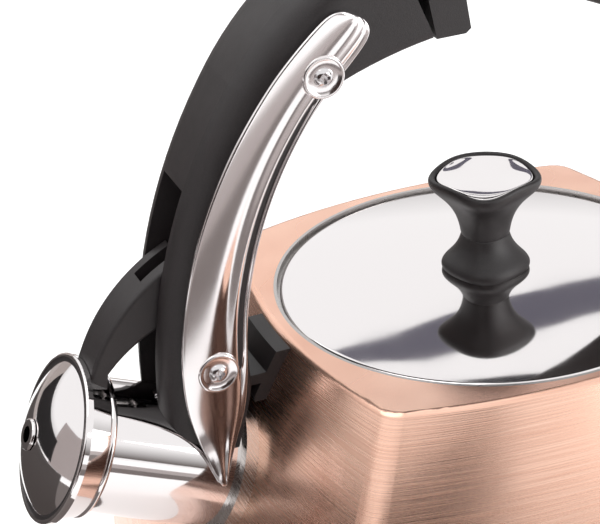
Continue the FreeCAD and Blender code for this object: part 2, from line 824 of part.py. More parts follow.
def handle_frame(tongue, cone, screw_way):
    body = side_plate("handle_frame_stock", FRAME_OUTLINE, FRAME_ARCS, "handle_width")
    fillet(body, "handle_outer_round", "outer", rounds_with([FLANK, "crown_radius", "tail_round"]))
    fillet(body, "handle_inner_round", "inner",
           rounds_with(["tail_inner_radius", "palm_radius", "leg_inner_radius"]))
    channel = new_sketch(body, "XZ_Plane", "channel")
    roof_end = f"({CROWN_RISE} + sqrt((crown_radius - channel_roof)^2 - channel_rear^2))"
    draw_outline(channel, [
        ("channel_margin - leg_reach", "slot_floor"),
        ("0 - handle_reach - channel_margin", "slot_floor"),
        ("0 - handle_reach - channel_margin", "slot_rise"),
        (f"(0 - {flank_point('slot_rise', 'channel_roof')})", "slot_rise"),
        crown_joint("-1", "channel_roof"),
        ("channel_rear", roof_end),
        ("channel_rear", "notch_rise - channel_margin / 4"),
        ("channel_margin / 2 - palm_reach", "notch_rise - channel_margin / 4"),
        ("channel_margin / 2 - palm_reach", "palm_rise - channel_margin / 2"),
        ("channel_margin - shoulder_reach", "shoulder_rise - channel_margin"),
    ], {3: f"-({FLANK} - channel_roof)", 4: "-(crown_radius - channel_roof)"})
    pocket(body, channel, "slot_width", "channel_cut")
    recess = new_sketch(body, "XZ_Plane", "recess")
    draw_outline(recess, [
        ("0 - slot_face_reach", "0 - recess_bottom"),
        ("0 - slot_face_reach", "slot_floor + 1"),
        ("0 - handle_reach - channel_margin", "slot_floor + 1"),
        ("0 - handle_reach - channel_margin", "0 - recess_bottom"),
    ])
    pocket(body, recess, "slot_width", "recess_cut")
    holes = new_sketch(body, "XZ_Plane", "holes")
    for reach, rise in STRAP_SCREWS:
        draw_circle(holes, reach, rise, "screw_radius")
    for reach, rise in (PIVOT, TRIGGER_PIVOT):
        draw_circle(holes, reach, rise, "pin_radius")
    pocket(body, holes, "handle_width * 2", "hole_cut")
    place(body, z=OVAL)
    return sub_part(combine("Cut", "handle_frame", body, tongue, cone, screw_way))


def handle_cover():
    inner = "(leg_inner_radius + cover_sheet)"
    body = side_plate("handle_cover", [
        ("0 - palm_reach - cover_sheet / 4", "palm_rise"),
        ("0 - shoulder_reach", "shoulder_rise"),
        ("0 - leg_reach", "slot_floor"),
        ("0 - leg_reach - cover_sheet", "slot_floor"),
        ("0 - shoulder_reach - cover_sheet * 0.6", "shoulder_rise + cover_sheet * 0.8"),
        ("0 - palm_reach - cover_sheet", "palm_rise + cover_sheet"),
    ], {0: "palm_radius", 1: "leg_inner_radius", 3: f"-{inner}", 4: "-(palm_radius + cover_sheet)"},
        "slot_width - fit_gap * 2")
    place(body, z=OVAL)
    return sub_part(body)


def side_strap(label, side, cone):
    """A polished strap on one side of the handle; side is 1 towards -Y and -1 towards +Y."""
    middle = f"({side} * (handle_width + strap_sheet) / 2)"
    face = f"({side} * (handle_width / 2 + strap_sheet))"
    body = side_plate(f"{label}_stock", [
        ("0 - strap_top_reach", "strap_top_rise"),
        ("0 - strap_side_reach", "strap_side_rise"),
        ("0 - strap_tip_reach", "0 - strap_tip_drop"),
        ("0 - strap_heel_reach", "0 - strap_heel_drop"),
        ("0 - leg_reach - strap_lap", "slot_floor"),
        ("0 - strap_waist_reach", "strap_waist_rise"),
        ("0 - strap_end_reach", "strap_end_rise"),
    ], {0: "strap_outer_radius", 4: "-(leg_inner_radius + strap_lap)", 6: "strap_end_radius"},
        "strap_sheet", middle)
    outside = -number(face)
    fillet(body, "strap_round", "rim", lambda edge: (
        all(abs(vertex.Y - outside) < 0.001 for vertex in edge.Vertexes)))
    inwards = side < 0
    for index, (reach, rise) in enumerate(STRAP_SCREWS):
        dimple = new_sketch(body, "XZ_Plane", f"dimple{index}", face)
        draw_circle(dimple, reach, rise, "dimple_radius")
        pocket(body, dimple, "dimple_depth", f"dimple_cut{index}", both_sides=False, reverse=inwards)
        hole = new_sketch(body, "XZ_Plane", f"hole{index}", face)
        draw_circle(hole, reach, rise, "screw_radius")
        pocket(body, hole, "strap_sheet * 2", f"hole_cut{index}", both_sides=False, reverse=inwards)
    place(body, z=OVAL)
    return sub_part(combine("Cut", label, body, cone))


def pan_screw(label, length, **where):
    """A pan-head screw with a cross recess; its head's seat is at its own z = 0."""
    body = new_body(label)
    outline = new_sketch(body, "XZ_Plane", "outline")
    draw_outline(outline, [
        ("0", f"0 - {length}"),
        ("screw_radius", f"0 - {length}"),
        ("screw_radius", "0"),
        ("screw_head_radius", "0"),
        ("screw_head_radius", "screw_head_height / 3"),
        ("screw_head_radius / 2", "screw_head_height"),
        ("0", "screw_head_height"),
    ], {4: "(screw_head_radius * 0.9)"})
    turn_round(body, outline)
    for turn, (along, across) in enumerate((("length", "width"), ("width", "length"))):
        cross = new_sketch(body, "XY_Plane", f"cross{turn}", "screw_head_height")
        half_x = f"(screw_cross_{along} / 2)"
        half_y = f"(screw_cross_{across} / 2)"
        draw_outline(cross, [
            (f"(0 - {half_x})", f"(0 - {half_y})"),
            (half_x, f"(0 - {half_y})"),
            (half_x, half_y),
            (f"(0 - {half_x})", half_y),
        ])
        pocket(body, cross, "screw_cross_depth", f"cross_cut{turn}", both_sides=False)
    place(body, **where)
    return sub_part(body)


def strap_screws():
    seat = "(handle_width / 2 + strap_sheet - dimple_depth)"
    for name, (reach, rise) in zip(("upper", "lower"), STRAP_SCREWS):
        pan_screw(f"strap_screw_{name}_left", "screw_length", x=reach, y=f"0 - {seat}",
                  z=f"{OVAL} + {rise}", axis=(1, 0, 0), angle="90")
        pan_screw(f"strap_screw_{name}_right", "screw_length", x=reach, y=seat,
                  z=f"{OVAL} + {rise}", axis=(-1, 0, 0), angle="90")


def leg_screw():
    return pan_screw("leg_screw", "leg_screw_length", x="0 - slot_face_reach",
                     z=f"{OVAL} + leg_screw_rise", axis=(0, -1, 0), angle="90")


def bracket_tongue():
    """The flat tongue of the bracket, which is also the shape of its socket in the leg."""
    return box("bracket_tongue", "bracket_reach - bracket_inner_reach", "bracket_width", "bracket_sheet",
               x="0 - bracket_reach", y="0 - bracket_width / 2",
               z=f"{OVAL} + leg_screw_rise - bracket_sheet / 2")


def leg_screw_way():
    """The hole of the leg screw as a tool."""
    return cylinder("leg_screw_way", "screw_radius", "leg_screw_length",
                    x="leg_screw_length - slot_face_reach", z=f"{OVAL} + leg_screw_rise",
                    axis=(0, -1, 0), angle="90")


def mount_bracket(tongue, form, grown_form, screw_way):
    foot_box = box("bracket_foot_box", "bracket_foot_reach - bracket_inner_reach", "bracket_width",
                   "bracket_foot", x="0 - bracket_foot_reach", y="0 - bracket_width / 2",
                   z=f"{OVAL} + leg_screw_rise - bracket_foot / 2")
    foot = combine("Common", "bracket_foot_pad", foot_box, grown_form)
    joined = combine("Fuse", "bracket_joined", tongue, foot)
    return sub_part(combine("Cut", "mount_bracket", joined, form, screw_way))


# ---------------------------------------------------------------- cap arm and whistle cap

def hinge_pin(label, radius, length, x, z):
    """A plain pin along Y, its middle in the plane of symmetry."""
    pin = cylinder(label, radius, length, x=x, y=f"0 - ({length}) / 2", z=f"{OVAL} + {z}",
                   axis=(-1, 0, 0), angle="90")
    return sub_part(pin)


ROD_FRONT = ("(0 - pivot_reach - link_throw * cos(link_lead))", "(pivot_rise - link_throw * sin(link_lead))")
ROD_REAR = ("(trigger_reach - crank_length * sin(crank_lead))",
            "(trigger_rise + crank_length * cos(crank_lead))")


def cap_envelope():
    """The outside of the whistle cap as a tool."""
    return turned("cap_envelope", [
        ("0", "cap_gap"),
        ("cap_back_radius", "cap_gap"),
        ("cap_front_radius", "rim_start"),
        ("rim_radius", "rim_start"),
        ("rim_radius", "rim_start + rim_width"),
        ("0", "rim_start + rim_width"),
    ], None, **SPOUT_AXIS)


def spout_arm(envelope):
    body = side_plate("spout_arm_stock", [
        along_spout("cap_gap", "cap_back_radius - 2"),
        along_spout("rim_start - 0.2", "cap_back_radius - 2"),
        along_spout("rim_start - 0.2", "rim_radius + 1.2"),
        ("0 - arm_root_reach", "arm_root_rise"),
        ("arm_hub - pivot_reach", "pivot_rise"),
        ("0 - pivot_reach", "pivot_rise - arm_hub"),
        ("0 - arm_belly_reach", "arm_belly_rise"),
        ("0 - arm_neck_reach", "arm_neck_rise"),
    ], {2: "-arm_back_radius", 4: "-arm_hub", 6: "arm_belly_radius"}, "arm_width")
    fillet(body, "arm_round", "edges", rounds_with(["arm_back_radius", "arm_belly_radius"]))
    fork = new_sketch(body, "XZ_Plane", "fork")
    draw_outline(fork, [
        ("0 - arm_root_reach - fork_depth", "pivot_rise - arm_hub * 2"),
        ("arm_hub * 2 - pivot_reach", "pivot_rise - arm_hub * 2"),
        ("arm_hub * 2 - pivot_reach", "arm_root_rise + fork_depth"),
        ("0 - arm_root_reach - fork_depth - fork_lean", "arm_root_rise + fork_depth"),
        ("0 - arm_root_reach - fork_depth", "pivot_rise"),
    ])
    pocket(body, fork, "arm_fork", "fork_cut")
    holes = new_sketch(body, "XZ_Plane", "holes")
    draw_circle(holes, *PIVOT, "pin_radius + running_gap")
    draw_circle(holes, *ROD_FRONT, "link_pin_radius")
    pocket(body, holes, "arm_width * 2", "hole_cut")
    place(body, z=OVAL)
    return sub_part(combine("Cut", "spout_arm", body, envelope))


RIM_TOP = "(rim_start + rim_width)"
DOME_EDGE = "(rim_radius - rim_face - groove_width)"
CAP_DOME = f"(({DOME_EDGE}^2 + dome_rise^2) / (2 * dome_rise))"
EYELET_HOLE = "(eyelet_bore + cap_sheet)"
CAP_APEX = f"({RIM_TOP} - rim_face / 4 + dome_rise)"


def cap_skirt():
    return sub_part(turned("cap_skirt", [
        ("cap_back_radius", "cap_gap"),
        ("cap_front_radius", "rim_start"),
        ("rim_radius", "rim_start"),
        ("rim_radius", f"({RIM_TOP} - rim_face / 2)"),
        ("rim_radius - rim_face / 2", RIM_TOP),
        ("rim_radius - rim_face", RIM_TOP),
        ("rim_radius - rim_face", f"({RIM_TOP} - rim_face)"),
        ("cap_front_radius - cap_sheet", "rim_start"),
        ("cap_back_radius - cap_sheet", "cap_gap"),
    ], {3: "(rim_face * 0.55)"}, **SPOUT_AXIS))


def cap_groove_ring():
    return sub_part(turned("cap_groove_ring", [
        (DOME_EDGE, f"({RIM_TOP} - rim_face)"),
        ("rim_radius - rim_face", f"({RIM_TOP} - rim_face)"),
        ("rim_radius - rim_face", f"({RIM_TOP} - rim_face / 4)"),
        (DOME_EDGE, f"({RIM_TOP} - rim_face / 4)"),
    ], None, **SPOUT_AXIS))


def cap_dome():
    fall = f"({CAP_DOME} - sqrt({CAP_DOME}^2 - {EYELET_HOLE}^2))"
    edge_rise = f"({CAP_APEX} - dome_rise)"
    return sub_part(turned("cap_dome", [
        (EYELET_HOLE, f"({CAP_APEX} - {fall})"),
        (DOME_EDGE, edge_rise),
        (DOME_EDGE, f"({RIM_TOP} - rim_width)"),
        (f"({DOME_EDGE} - cap_sheet)", f"({RIM_TOP} - rim_width)"),
        (f"({DOME_EDGE} - cap_sheet)", f"({edge_rise} - cap_sheet / 2)"),
        (EYELET_HOLE, f"({CAP_APEX} - {fall} - cap_sheet)"),
    ], {0: f"-{CAP_DOME}", 4: CAP_DOME}, **SPOUT_AXIS))


def whistle_eyelet():
    return sub_part(turned("whistle_eyelet", [
        ("eyelet_bore", f"({CAP_APEX} - cap_sheet * 3)"),
        (EYELET_HOLE, f"({CAP_APEX} - cap_sheet * 3)"),
        (EYELET_HOLE, CAP_APEX),
        ("eyelet_radius", CAP_APEX),
        ("eyelet_radius - cap_sheet / 2", f"({CAP_APEX} + cap_sheet)"),
        ("eyelet_bore", f"({CAP_APEX} + cap_sheet)"),
    ], {3: "cap_sheet"}, **SPOUT_AXIS))


def whistle_plate():
    growth = "(cap_front_radius - cap_back_radius) * (whistle_depth - cap_gap) / (rim_start - cap_gap)"
    edge = f"(cap_back_radius - cap_sheet + {growth} - fit_gap)"
    return sub_part(turned("whistle_plate", [
        ("whistle_bore", "whistle_depth"),
        (edge, "whistle_depth"),
        (edge, "whistle_depth + cap_sheet"),
        ("whistle_bore", "whistle_depth + cap_sheet"),
    ], None, **SPOUT_AXIS))


def cap_seal():
    edge = "(cap_back_radius - cap_sheet)"
    return sub_part(turned("cap_seal", [
        ("seal_bore", "cap_gap"),
        (edge, "cap_gap"),
        (edge, "cap_gap + seal_height"),
        ("seal_bore", "cap_gap + seal_height"),
    ], None, **SPOUT_AXIS))


# ---------------------------------------------------------------- rod and trigger

ROD_RUN = (f"({ROD_REAR[0]} - {ROD_FRONT[0]})", f"({ROD_REAR[1]} - {ROD_FRONT[1]})")
ROD_CHORD = f"sqrt({ROD_RUN[0]}^2 + {ROD_RUN[1]}^2)"
ROD_RADIUS = f"(({ROD_CHORD} / 2)^2 + link_sag^2) / (2 * link_sag)"
ROD_BACK = f"(({ROD_RADIUS} - link_sag) / {ROD_CHORD})"
ROD_CENTRE = (f"(({ROD_FRONT[0]} + {ROD_REAR[0]}) / 2 + {ROD_BACK} * {ROD_RUN[1]})",
              f"(({ROD_FRONT[1]} + {ROD_REAR[1]}) / 2 - {ROD_BACK} * {ROD_RUN[0]})")


def rod_point(end, shift):
    """A point beside one of the rod's pins, moved outwards from the centre of its arc."""
    share = f"(1 + ({shift}) / ({ROD_RADIUS}))"
    return tuple(f"({centre} + {share} * ({pin} - {centre}))" for pin, centre in zip(end, ROD_CENTRE))


def pull_rod():
    half = "link_thickness / 2"
    body = side_plate("pull_rod", [
        rod_point(ROD_FRONT, half),
        rod_point(ROD_REAR, half),
        rod_point(ROD_REAR, f"0 - {half}"),
        rod_point(ROD_FRONT, f"0 - {half}"),
    ], {0: f"-({ROD_RADIUS} + {half})", 2: f"({ROD_RADIUS} - {half})"}, "link_thickness")
    for name, end in (("front", ROD_FRONT), ("rear", ROD_REAR)):
        eye = new_sketch(body, "XZ_Plane", f"{name}_eye")
        draw_circle(eye, *end, "link_eye")
        pad(body, eye, "link_thickness", f"{name}_eye_pad")
    holes = new_sketch(body, "XZ_Plane", "holes")
    for end in (ROD_FRONT, ROD_REAR):
        draw_circle(holes, *end, "link_pin_radius + link_hole_gap")
    pocket(body, holes, "link_thickness * 2", "hole_cut")
    place(body, z=OVAL)
    return sub_part(body)


def trigger():
    front = "(button_gap - palm_reach)"
    body = side_plate("trigger", [
        (front, "palm_rise"),
        (f"({front} + button_length)", "palm_rise"),
        (f"({front} + button_length + button_step)", "palm_rise + button_lip"),
        (f"({front} + button_length)", "button_top"),
        (f"({front} - button_lean)", "button_top"),
    ], None, "button_width")
    crank = new_sketch(body, "XZ_Plane", "crank")
    draw_outline(crank, [
        (front, "button_top - button_web"),
        (f"({front} + button_length)", "button_top - button_web"),
        ("trigger_reach", "trigger_rise - trigger_hub"),
        ("trigger_reach + trigger_hub", "trigger_rise"),
        (f"({ROD_REAR[0]} + crank_tip)", ROD_REAR[1]),
        (f"({ROD_REAR[0]} - crank_tip)", ROD_REAR[1]),
        ("trigger_reach - trigger_hub * 1.6", "trigger_rise"),
        (front, "button_top"),
    ], {2: "trigger_hub", 4: "(crank_tip * 1.02)"})
    pad(body, crank, "crank_width", "crank_pad")
    gap = new_sketch(body, "XZ_Plane", "gap")
    draw_outline(gap, [
        (f"({ROD_REAR[0]} - crank_length)", "crank_slot_rise"),
        (f"({ROD_REAR[0]} + crank_length)", "crank_slot_rise"),
        (f"({ROD_REAR[0]} + crank_length)", f"({ROD_REAR[1]} + crank_length)"),
        (f"({ROD_REAR[0]} - crank_length)", f"({ROD_REAR[1]} + crank_length)"),
    ])
    pocket(body, gap, "crank_slot", "gap_cut")
    holes = new_sketch(body, "XZ_Plane", "holes")
    draw_circle(holes, *TRIGGER_PIVOT, "pin_radius + running_gap")
    draw_circle(holes, *ROD_REAR, "link_pin_radius")
    pocket(body, holes, "crank_width * 2", "hole_cut")
    place(body, z=OVAL)
    return sub_part(body)


def trigger_spring():
    """A small coil that holds the trigger's button down, between it and the handle."""
    height = number("well_rise - button_top")
    wire = number("spring_wire")
    radius = number("spring_radius")
    pitch = (height - 2 * wire) / number("spring_turns")
    coil = Part.makeHelix(pitch, height - 2 * wire, radius)
    start = FreeCAD.Vector(radius, 0, 0)
    section = Part.Wire(Part.makeCircle(wire, start, FreeCAD.Vector(0, 1, 0)))
    spring = DOC.addObject("Part::Feature", "trigger_spring")
    spring.Shape = Part.Wire(coil).makePipeShell([section], True, True)
    middle = number("button_gap - palm_reach + button_length / 2")
    level = number(f"{OVAL} + button_top") + wire
    spring.Placement = FreeCAD.Placement(
        FreeCAD.Vector(middle, -number("spring_offset"), level), FreeCAD.Rotation())
    spring.Label = "trigger_spring"
    return sub_part(spring)


# ---------------------------------------------------------------- assembly

def build():
    form = vessel_form("vessel_form")
    grown_form = vessel_form("grown_form", "collar_stand")
    bore = cylinder("spout_bore", SPOUT_BORE, "spout_length", **SPOUT_ROOT)
    cone = spout_cone()
    tongue = bracket_tongue()
    screw_way = leg_screw_way()
    body_shell(bore)
    base_pan()
    base_disc()
    lid_seat_ring()
    lid_cover()
    lid_skirt()
    lid_gasket()
    knob_foot()
    knob_grip()
    knob_inlay()
    lid_washer()
    knob_screw()
    spout_tube(form)
    spout_collar(form, grown_form, cone)
    handle_frame(tongue, cone, screw_way)
    handle_cover()
    side_strap("side_strap_left", 1, cone)
    side_strap("side_strap_right", -1, cone)
    strap_screws()
    leg_screw()
    mount_bracket(tongue, form, grown_form, screw_way)
    hinge_pin("arm_pin", "pin_radius", "handle_width - pin_inset * 2", *PIVOT)
    hinge_pin("trigger_pin", "pin_radius", "handle_width - pin_inset * 2", *TRIGGER_PIVOT)
    hinge_pin("rod_pin_front", "link_pin_radius", "arm_width - pin_inset", *ROD_FRONT)
    hinge_pin("rod_pin_rear", "link_pin_radius", "crank_width - pin_inset", *ROD_REAR)
    spout_arm(cap_envelope())
    cap_skirt()
    cap_groove_ring()
    cap_dome()
    whistle_eyelet()
    whistle_plate()
    cap_seal()
    pull_rod()
    trigger()
    trigger_spring()
    DOC.recompute()


def check_and_write():
    """Stops on anything that failed, then writes one file for each sub-part."""
    for item in DOC.Objects:
        if {"Invalid", "Error"} & set(item.State):
            raise RuntimeError(f"{item.Name} failed: {item.State}")
    os.makedirs("parts", exist_ok=True)
    for item in SUB_PARTS:
        if item.Shape.isNull() or not item.Shape.isValid():
            raise RuntimeError(f"{item.Label} has no valid shape")
        if len(item.Shape.Solids) != 1:
            raise RuntimeError(f"{item.Label} is {len(item.Shape.Solids)} solids")
        item.Shape.exportStep(os.path.join("parts", f"{item.Label}.step"))
        print(f"{item.Label}: {item.Shape.Volume / 1000:.2f} cm3")
    print(f"rod centre {number(ROD_CENTRE[0]):.3f}, {number(OVAL) + number(ROD_CENTRE[1]):.3f}")


build()
check_and_write()
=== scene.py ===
"""Looks for the whistling kettle: finishes, the shaped trim pieces, studio and camera.

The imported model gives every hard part.  This script dresses those parts and models again,
in finer form, the pieces whose beauty lies in their curves: the lid's pressing, the square
knob and its mirror plate, the polished side straps and the screw dimples.
"""

import logging
import math
from dataclasses import dataclass, field
from enum import Enum
from typing import Optional, Sequence

import bmesh
import bpy
from mathutils import Matrix, Vector


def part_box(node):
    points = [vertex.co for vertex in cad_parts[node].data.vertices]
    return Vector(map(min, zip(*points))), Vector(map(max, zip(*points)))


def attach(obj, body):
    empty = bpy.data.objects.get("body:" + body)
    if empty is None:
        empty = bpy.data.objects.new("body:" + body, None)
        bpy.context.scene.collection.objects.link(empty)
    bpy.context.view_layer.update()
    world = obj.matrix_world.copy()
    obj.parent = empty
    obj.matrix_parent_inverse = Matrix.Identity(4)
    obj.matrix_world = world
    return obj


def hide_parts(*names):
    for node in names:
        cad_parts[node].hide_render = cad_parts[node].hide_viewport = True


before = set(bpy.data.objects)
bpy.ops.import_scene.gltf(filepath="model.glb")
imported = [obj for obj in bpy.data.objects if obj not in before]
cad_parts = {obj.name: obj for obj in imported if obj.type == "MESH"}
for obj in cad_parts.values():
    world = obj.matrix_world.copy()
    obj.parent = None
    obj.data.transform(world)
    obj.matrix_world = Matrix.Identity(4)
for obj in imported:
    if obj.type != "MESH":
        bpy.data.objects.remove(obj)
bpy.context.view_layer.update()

LOG = logging.getLogger("kettle")
MM = 0.001
OVAL_HEIGHT = 113.7      # mm, centre of the handle's oval above the table
LID_TOP = 127.9          # mm, top of the lid's dome above the table
WELD = 1e-6              # m, points nearer to each other than this become one
NOISE_LOW, NOISE_HIGH = 0.3, 0.7                 # nearly all of a noise's values lie between
NOISE_ROUGHNESS = 0.55
MIX_FACTOR, MIX_FIRST, MIX_SECOND = 0, 6, 7      # inputs of a mix node for colours
MIX_RESULT = 2                                   # and its output

Point = tuple[float, float]


class Slot(str, Enum):
    """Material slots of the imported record."""

    COPPER = "coated_steel"
    POLISHED = "polished_steel"
    SATIN = "satin_steel"
    PLAIN = "bare_steel"
    SCREW = "screw_steel"
    NYLON = "black_nylon"
    SILICONE = "seal_rubber"


class Side(Enum):
    """The two flanks of the handle."""

    LEFT = -1.0
    RIGHT = 1.0


# ------------------------------------------------------------------ node helpers

def linear(code: str, alpha: float = 1.0) -> tuple[float, float, float, float]:
    """Turns an sRGB hex code into a linear colour.

    Args:
        code: Six hex digits after a hash sign.
        alpha: Opacity of the colour.

    Returns:
        Red, green, blue and alpha for a shader socket.
    """
    parts = [int(code[index:index + 2], 16) / 255 for index in (1, 3, 5)]
    curve = [part / 12.92 if part <= 0.04045 else ((part + 0.055) / 1.055) ** 2.4 for part in parts]
    return (curve[0], curve[1], curve[2], alpha)


def add_node(tree: bpy.types.NodeTree, kind: str, settings: Optional[dict] = None,
             links: Optional[dict] = None, **attributes: object) -> bpy.types.Node:
    """Adds one node with its settings and its incoming links.

    Args:
        tree: The node tree that gets the node.
        kind: Blender's type name of the node.
        settings: Input socket name or number, and the value it is set to.
        links: Input socket name or number, and the output socket that feeds it.
        attributes: Properties of the node itself.

    Returns:
        The new node.
    """
    node = tree.nodes.new(kind)
    for name, value in attributes.items():
        setattr(node, name, value)
    for socket, value in (settings or {}).items():
        node.inputs[socket].default_value = value
    for socket, source in (links or {}).items():
        tree.links.new(source, node.inputs[socket])
    return node


@dataclass(frozen=True)
class Finish:
    """What every finish shares: a name, a colour and the shader's plain values."""

    name: str = "finish"
    colour: str = "#808080"
    metallic: float = 0.0
    roughness: float = 0.5
    ior: float = 1.5
    coat: float = 0.0

    def start(self) -> tuple[bpy.types.Material, bpy.types.NodeTree, bpy.types.Node, bpy.types.Node]:
        """Makes the material with its shader and its coordinates.

        Returns:
            The material, its node tree, the shader and the texture coordinate node.
        """
        material = bpy.data.materials.new(self.name)
        material.use_nodes = True
        tree = material.node_tree
        tree.nodes.clear()
        shader = add_node(tree, "ShaderNodeBsdfPrincipled", {
            "Base Color": linear(self.colour),
            "Metallic": self.metallic,
            "Roughness": self.roughness,
            "IOR": self.ior,
            "Coat Weight": self.coat,
        })
        add_node(tree, "ShaderNodeOutputMaterial", links={"Surface": shader.outputs["BSDF"]})
        where = add_node(tree, "ShaderNodeTexCoord")
        material.diffuse_color = linear(self.colour)
        return material, tree, shader, where

    def noise(self, tree: bpy.types.NodeTree, where: bpy.types.Node, grain: Sequence[float],
              turn: Sequence[float] = (0.0, 0.0, 0.0), detail: float = 3.0) -> bpy.types.Node:
        """Noise whose grain has a real size along each axis.

        Args:
            tree: The material's node tree.
            where: The texture coordinate node.
            grain: Size of the grain along X, Y and Z, in millimetres.
            turn: Turn of the pattern about each axis, in degrees.
            detail: Octaves of the noise.

        Returns:
            The noise node.
        """
        mapping = add_node(tree, "ShaderNodeMapping", {
            "Scale": [1 / (size * MM) for size in grain],
            "Rotation": [math.radians(angle) for angle in turn],
        }, {"Vector": where.outputs["Object"]}, vector_type="POINT")
        if any(turn):
            mapping.vector_type = "TEXTURE"
            mapping.inputs["Scale"].default_value = [size * MM for size in grain]
        return add_node(tree, "ShaderNodeTexNoise", {
            "Scale": 1.0, "Detail": detail, "Roughness": NOISE_ROUGHNESS,
        }, {"Vector": mapping.outputs["Vector"]})

    def spread(self, tree: bpy.types.NodeTree, source: bpy.types.NodeSocket, low: float,
               high: float) -> bpy.types.NodeSocket:
        """Spreads a noise value over a range.

        Args:
            tree: The material's node tree.
            source: The noise's output, about 0.3 to 0.7.
            low: What the noise's low end becomes.
            high: What its high end becomes.

        Returns:
            The output socket of the spread value.
        """
        node = add_node(tree, "ShaderNodeMapRange", {
            "From Min": NOISE_LOW, "From Max": NOISE_HIGH, "To Min": low, "To Max": high,
        }, {"Value": source})
        return node.outputs["Result"]

    def bump(self, tree: bpy.types.NodeTree, shader: bpy.types.Node, height: bpy.types.NodeSocket,
             depth_mm: float, strength: float = 1.0) -> None:
        """Bumps the surface by a height pattern.

        Args:
            tree: The material's node tree.
            shader: The principled shader.
            height: The pattern, 0 to 1.
            depth_mm: Depth of the pattern in millimetres.
            strength: Share of the bump that is used.
        """
        node = add_node(tree, "ShaderNodeBump", {"Strength": strength, "Distance": depth_mm * MM},
                        {"Height": height})
        tree.links.new(node.outputs["Normal"], shader.inputs["Normal"])

    def build(self) -> bpy.types.Material:
        """The material, with the detail of its own kind."""
        raise NotImplementedError


@dataclass(frozen=True)
class CopperCoat(Finish):
    """Copper-coloured metallic coat baked over brushed steel sheet.

    The sheet was brushed in level strokes before coating, so long fine lines run round the
    walls; the coat evens them on the deck and gives a soft, warm, satin shine.
    """

    name: str = "baked_copper_coat"
    colour: str = "#F3C9B4"
    shade: str = "#E4B19A"
    metallic: float = 1.0
    roughness: float = 0.25
    coat: float = 0.12
    stroke_mm: float = 34.0
    stroke_height_mm: float = 0.3   # real strokes are nearer 0.1 mm, drawn coarser to show
    stroke_haze: float = 0.05       # what the strokes add to the roughness, or take from it
    cloud_mm: tuple[float, float, float] = (42.0, 42.0, 30.0)
    flake_mm: float = 0.3
    flake_share: float = 0.25
    bump_mm: float = 0.018

    def build(self) -> bpy.types.Material:
        """The coat with level brush strokes and faint cloudiness.

        Returns:
            The material.
        """
        material, tree, shader, where = self.start()
        strokes = self.noise(tree, where, (self.stroke_mm, self.stroke_mm, self.stroke_height_mm), detail=2.0)
        cloud = self.noise(tree, where, self.cloud_mm, detail=2.0)
        flake = self.noise(tree, where, (self.flake_mm,) * 3, detail=1.0)
        tint = add_node(tree, "ShaderNodeMix", data_type="RGBA")
        tint.inputs[MIX_FIRST].default_value = linear(self.colour)
        tint.inputs[MIX_SECOND].default_value = linear(self.shade)
        tree.links.new(self.spread(tree, strokes.outputs["Fac"], 0.0, 0.8), tint.inputs[MIX_FACTOR])
        tree.links.new(tint.outputs[MIX_RESULT], shader.inputs["Base Color"])
        both = add_node(tree, "ShaderNodeMath", links={
            0: self.spread(tree, strokes.outputs["Fac"], -self.stroke_haze, self.stroke_haze),
            1: self.spread(tree, cloud.outputs["Fac"], self.roughness - 0.03, self.roughness + 0.04),
        }, operation="ADD")
        tree.links.new(both.outputs[0], shader.inputs["Roughness"])
        grain = add_node(tree, "ShaderNodeMath", {1: self.flake_share}, {0: flake.outputs["Fac"]},
                         operation="MULTIPLY")
        height = add_node(tree, "ShaderNodeMath", links={0: strokes.outputs["Fac"], 1: grain.outputs[0]},
                          operation="ADD")
        self.bump(tree, shader, height.outputs[0], self.bump_mm)
        return material


@dataclass(frozen=True)
class MirrorSteel(Finish):
    """Stainless steel buffed to a mirror.

    It shows its surroundings almost sharply, with a trace of haze where it has been wiped.
    """

    name: str = "buffed_stainless_steel"
    colour: str = "#E4E0E0"
    metallic: float = 1.0
    roughness: float = 0.045
    haze_mm: float = 22.0
    wave_mm: float = 16.0
    bump_mm: float = 0.02

    def build(self) -> bpy.types.Material:
        """The mirror with wiped haze and the faint waviness of pressed sheet.

        Returns:
            The material.
        """
        material, tree, shader, where = self.start()
        haze = self.noise(tree, where, (self.haze_mm,) * 3, detail=4.0)
        wave = self.noise(tree, where, (self.wave_mm,) * 3, detail=1.0)
        tree.links.new(self.spread(tree, haze.outputs["Fac"], self.roughness - 0.015, self.roughness + 0.03),
                       shader.inputs["Roughness"])
        self.bump(tree, shader, wave.outputs["Fac"], self.bump_mm)
        return material


@dataclass(frozen=True)
class SoftPolishedSteel(MirrorSteel):
    """Stainless trim polished less far than the mirror parts.

    It keeps a soft bloom, so what it shows melts into broad bright and grey bands.
    """

    name: str = "soft_polished_stainless_steel"
    colour: str = "#E6E1E1"
    roughness: float = 0.12
    haze_mm: float = 30.0


@dataclass(frozen=True)
class BrushedRing(Finish):
    """Stainless ring brushed round the spout, with fine bright scratches along its turn."""

    name: str = "brushed_stainless_ring"
    colour: str = "#D8D4D0"
    metallic: float = 1.0
    roughness: float = 0.22
    tilt_deg: float = 65.0
    stroke_mm: tuple[float, float, float] = (9.0, 9.0, 0.28)
    roughness_range: tuple[float, float] = (0.14, 0.36)
    bump_mm: float = 0.05

    def build(self) -> bpy.types.Material:
        """The ring with strokes that run round the spout's axis.

        Returns:
            The material.
        """
        material, tree, shader, where = self.start()
        strokes = self.noise(tree, where, self.stroke_mm, (0.0, self.tilt_deg, 0.0), detail=3.0)
        tree.links.new(self.spread(tree, strokes.outputs["Fac"], *self.roughness_range),
                       shader.inputs["Roughness"])
        self.bump(tree, shader, strokes.outputs["Fac"], self.bump_mm)
        return material


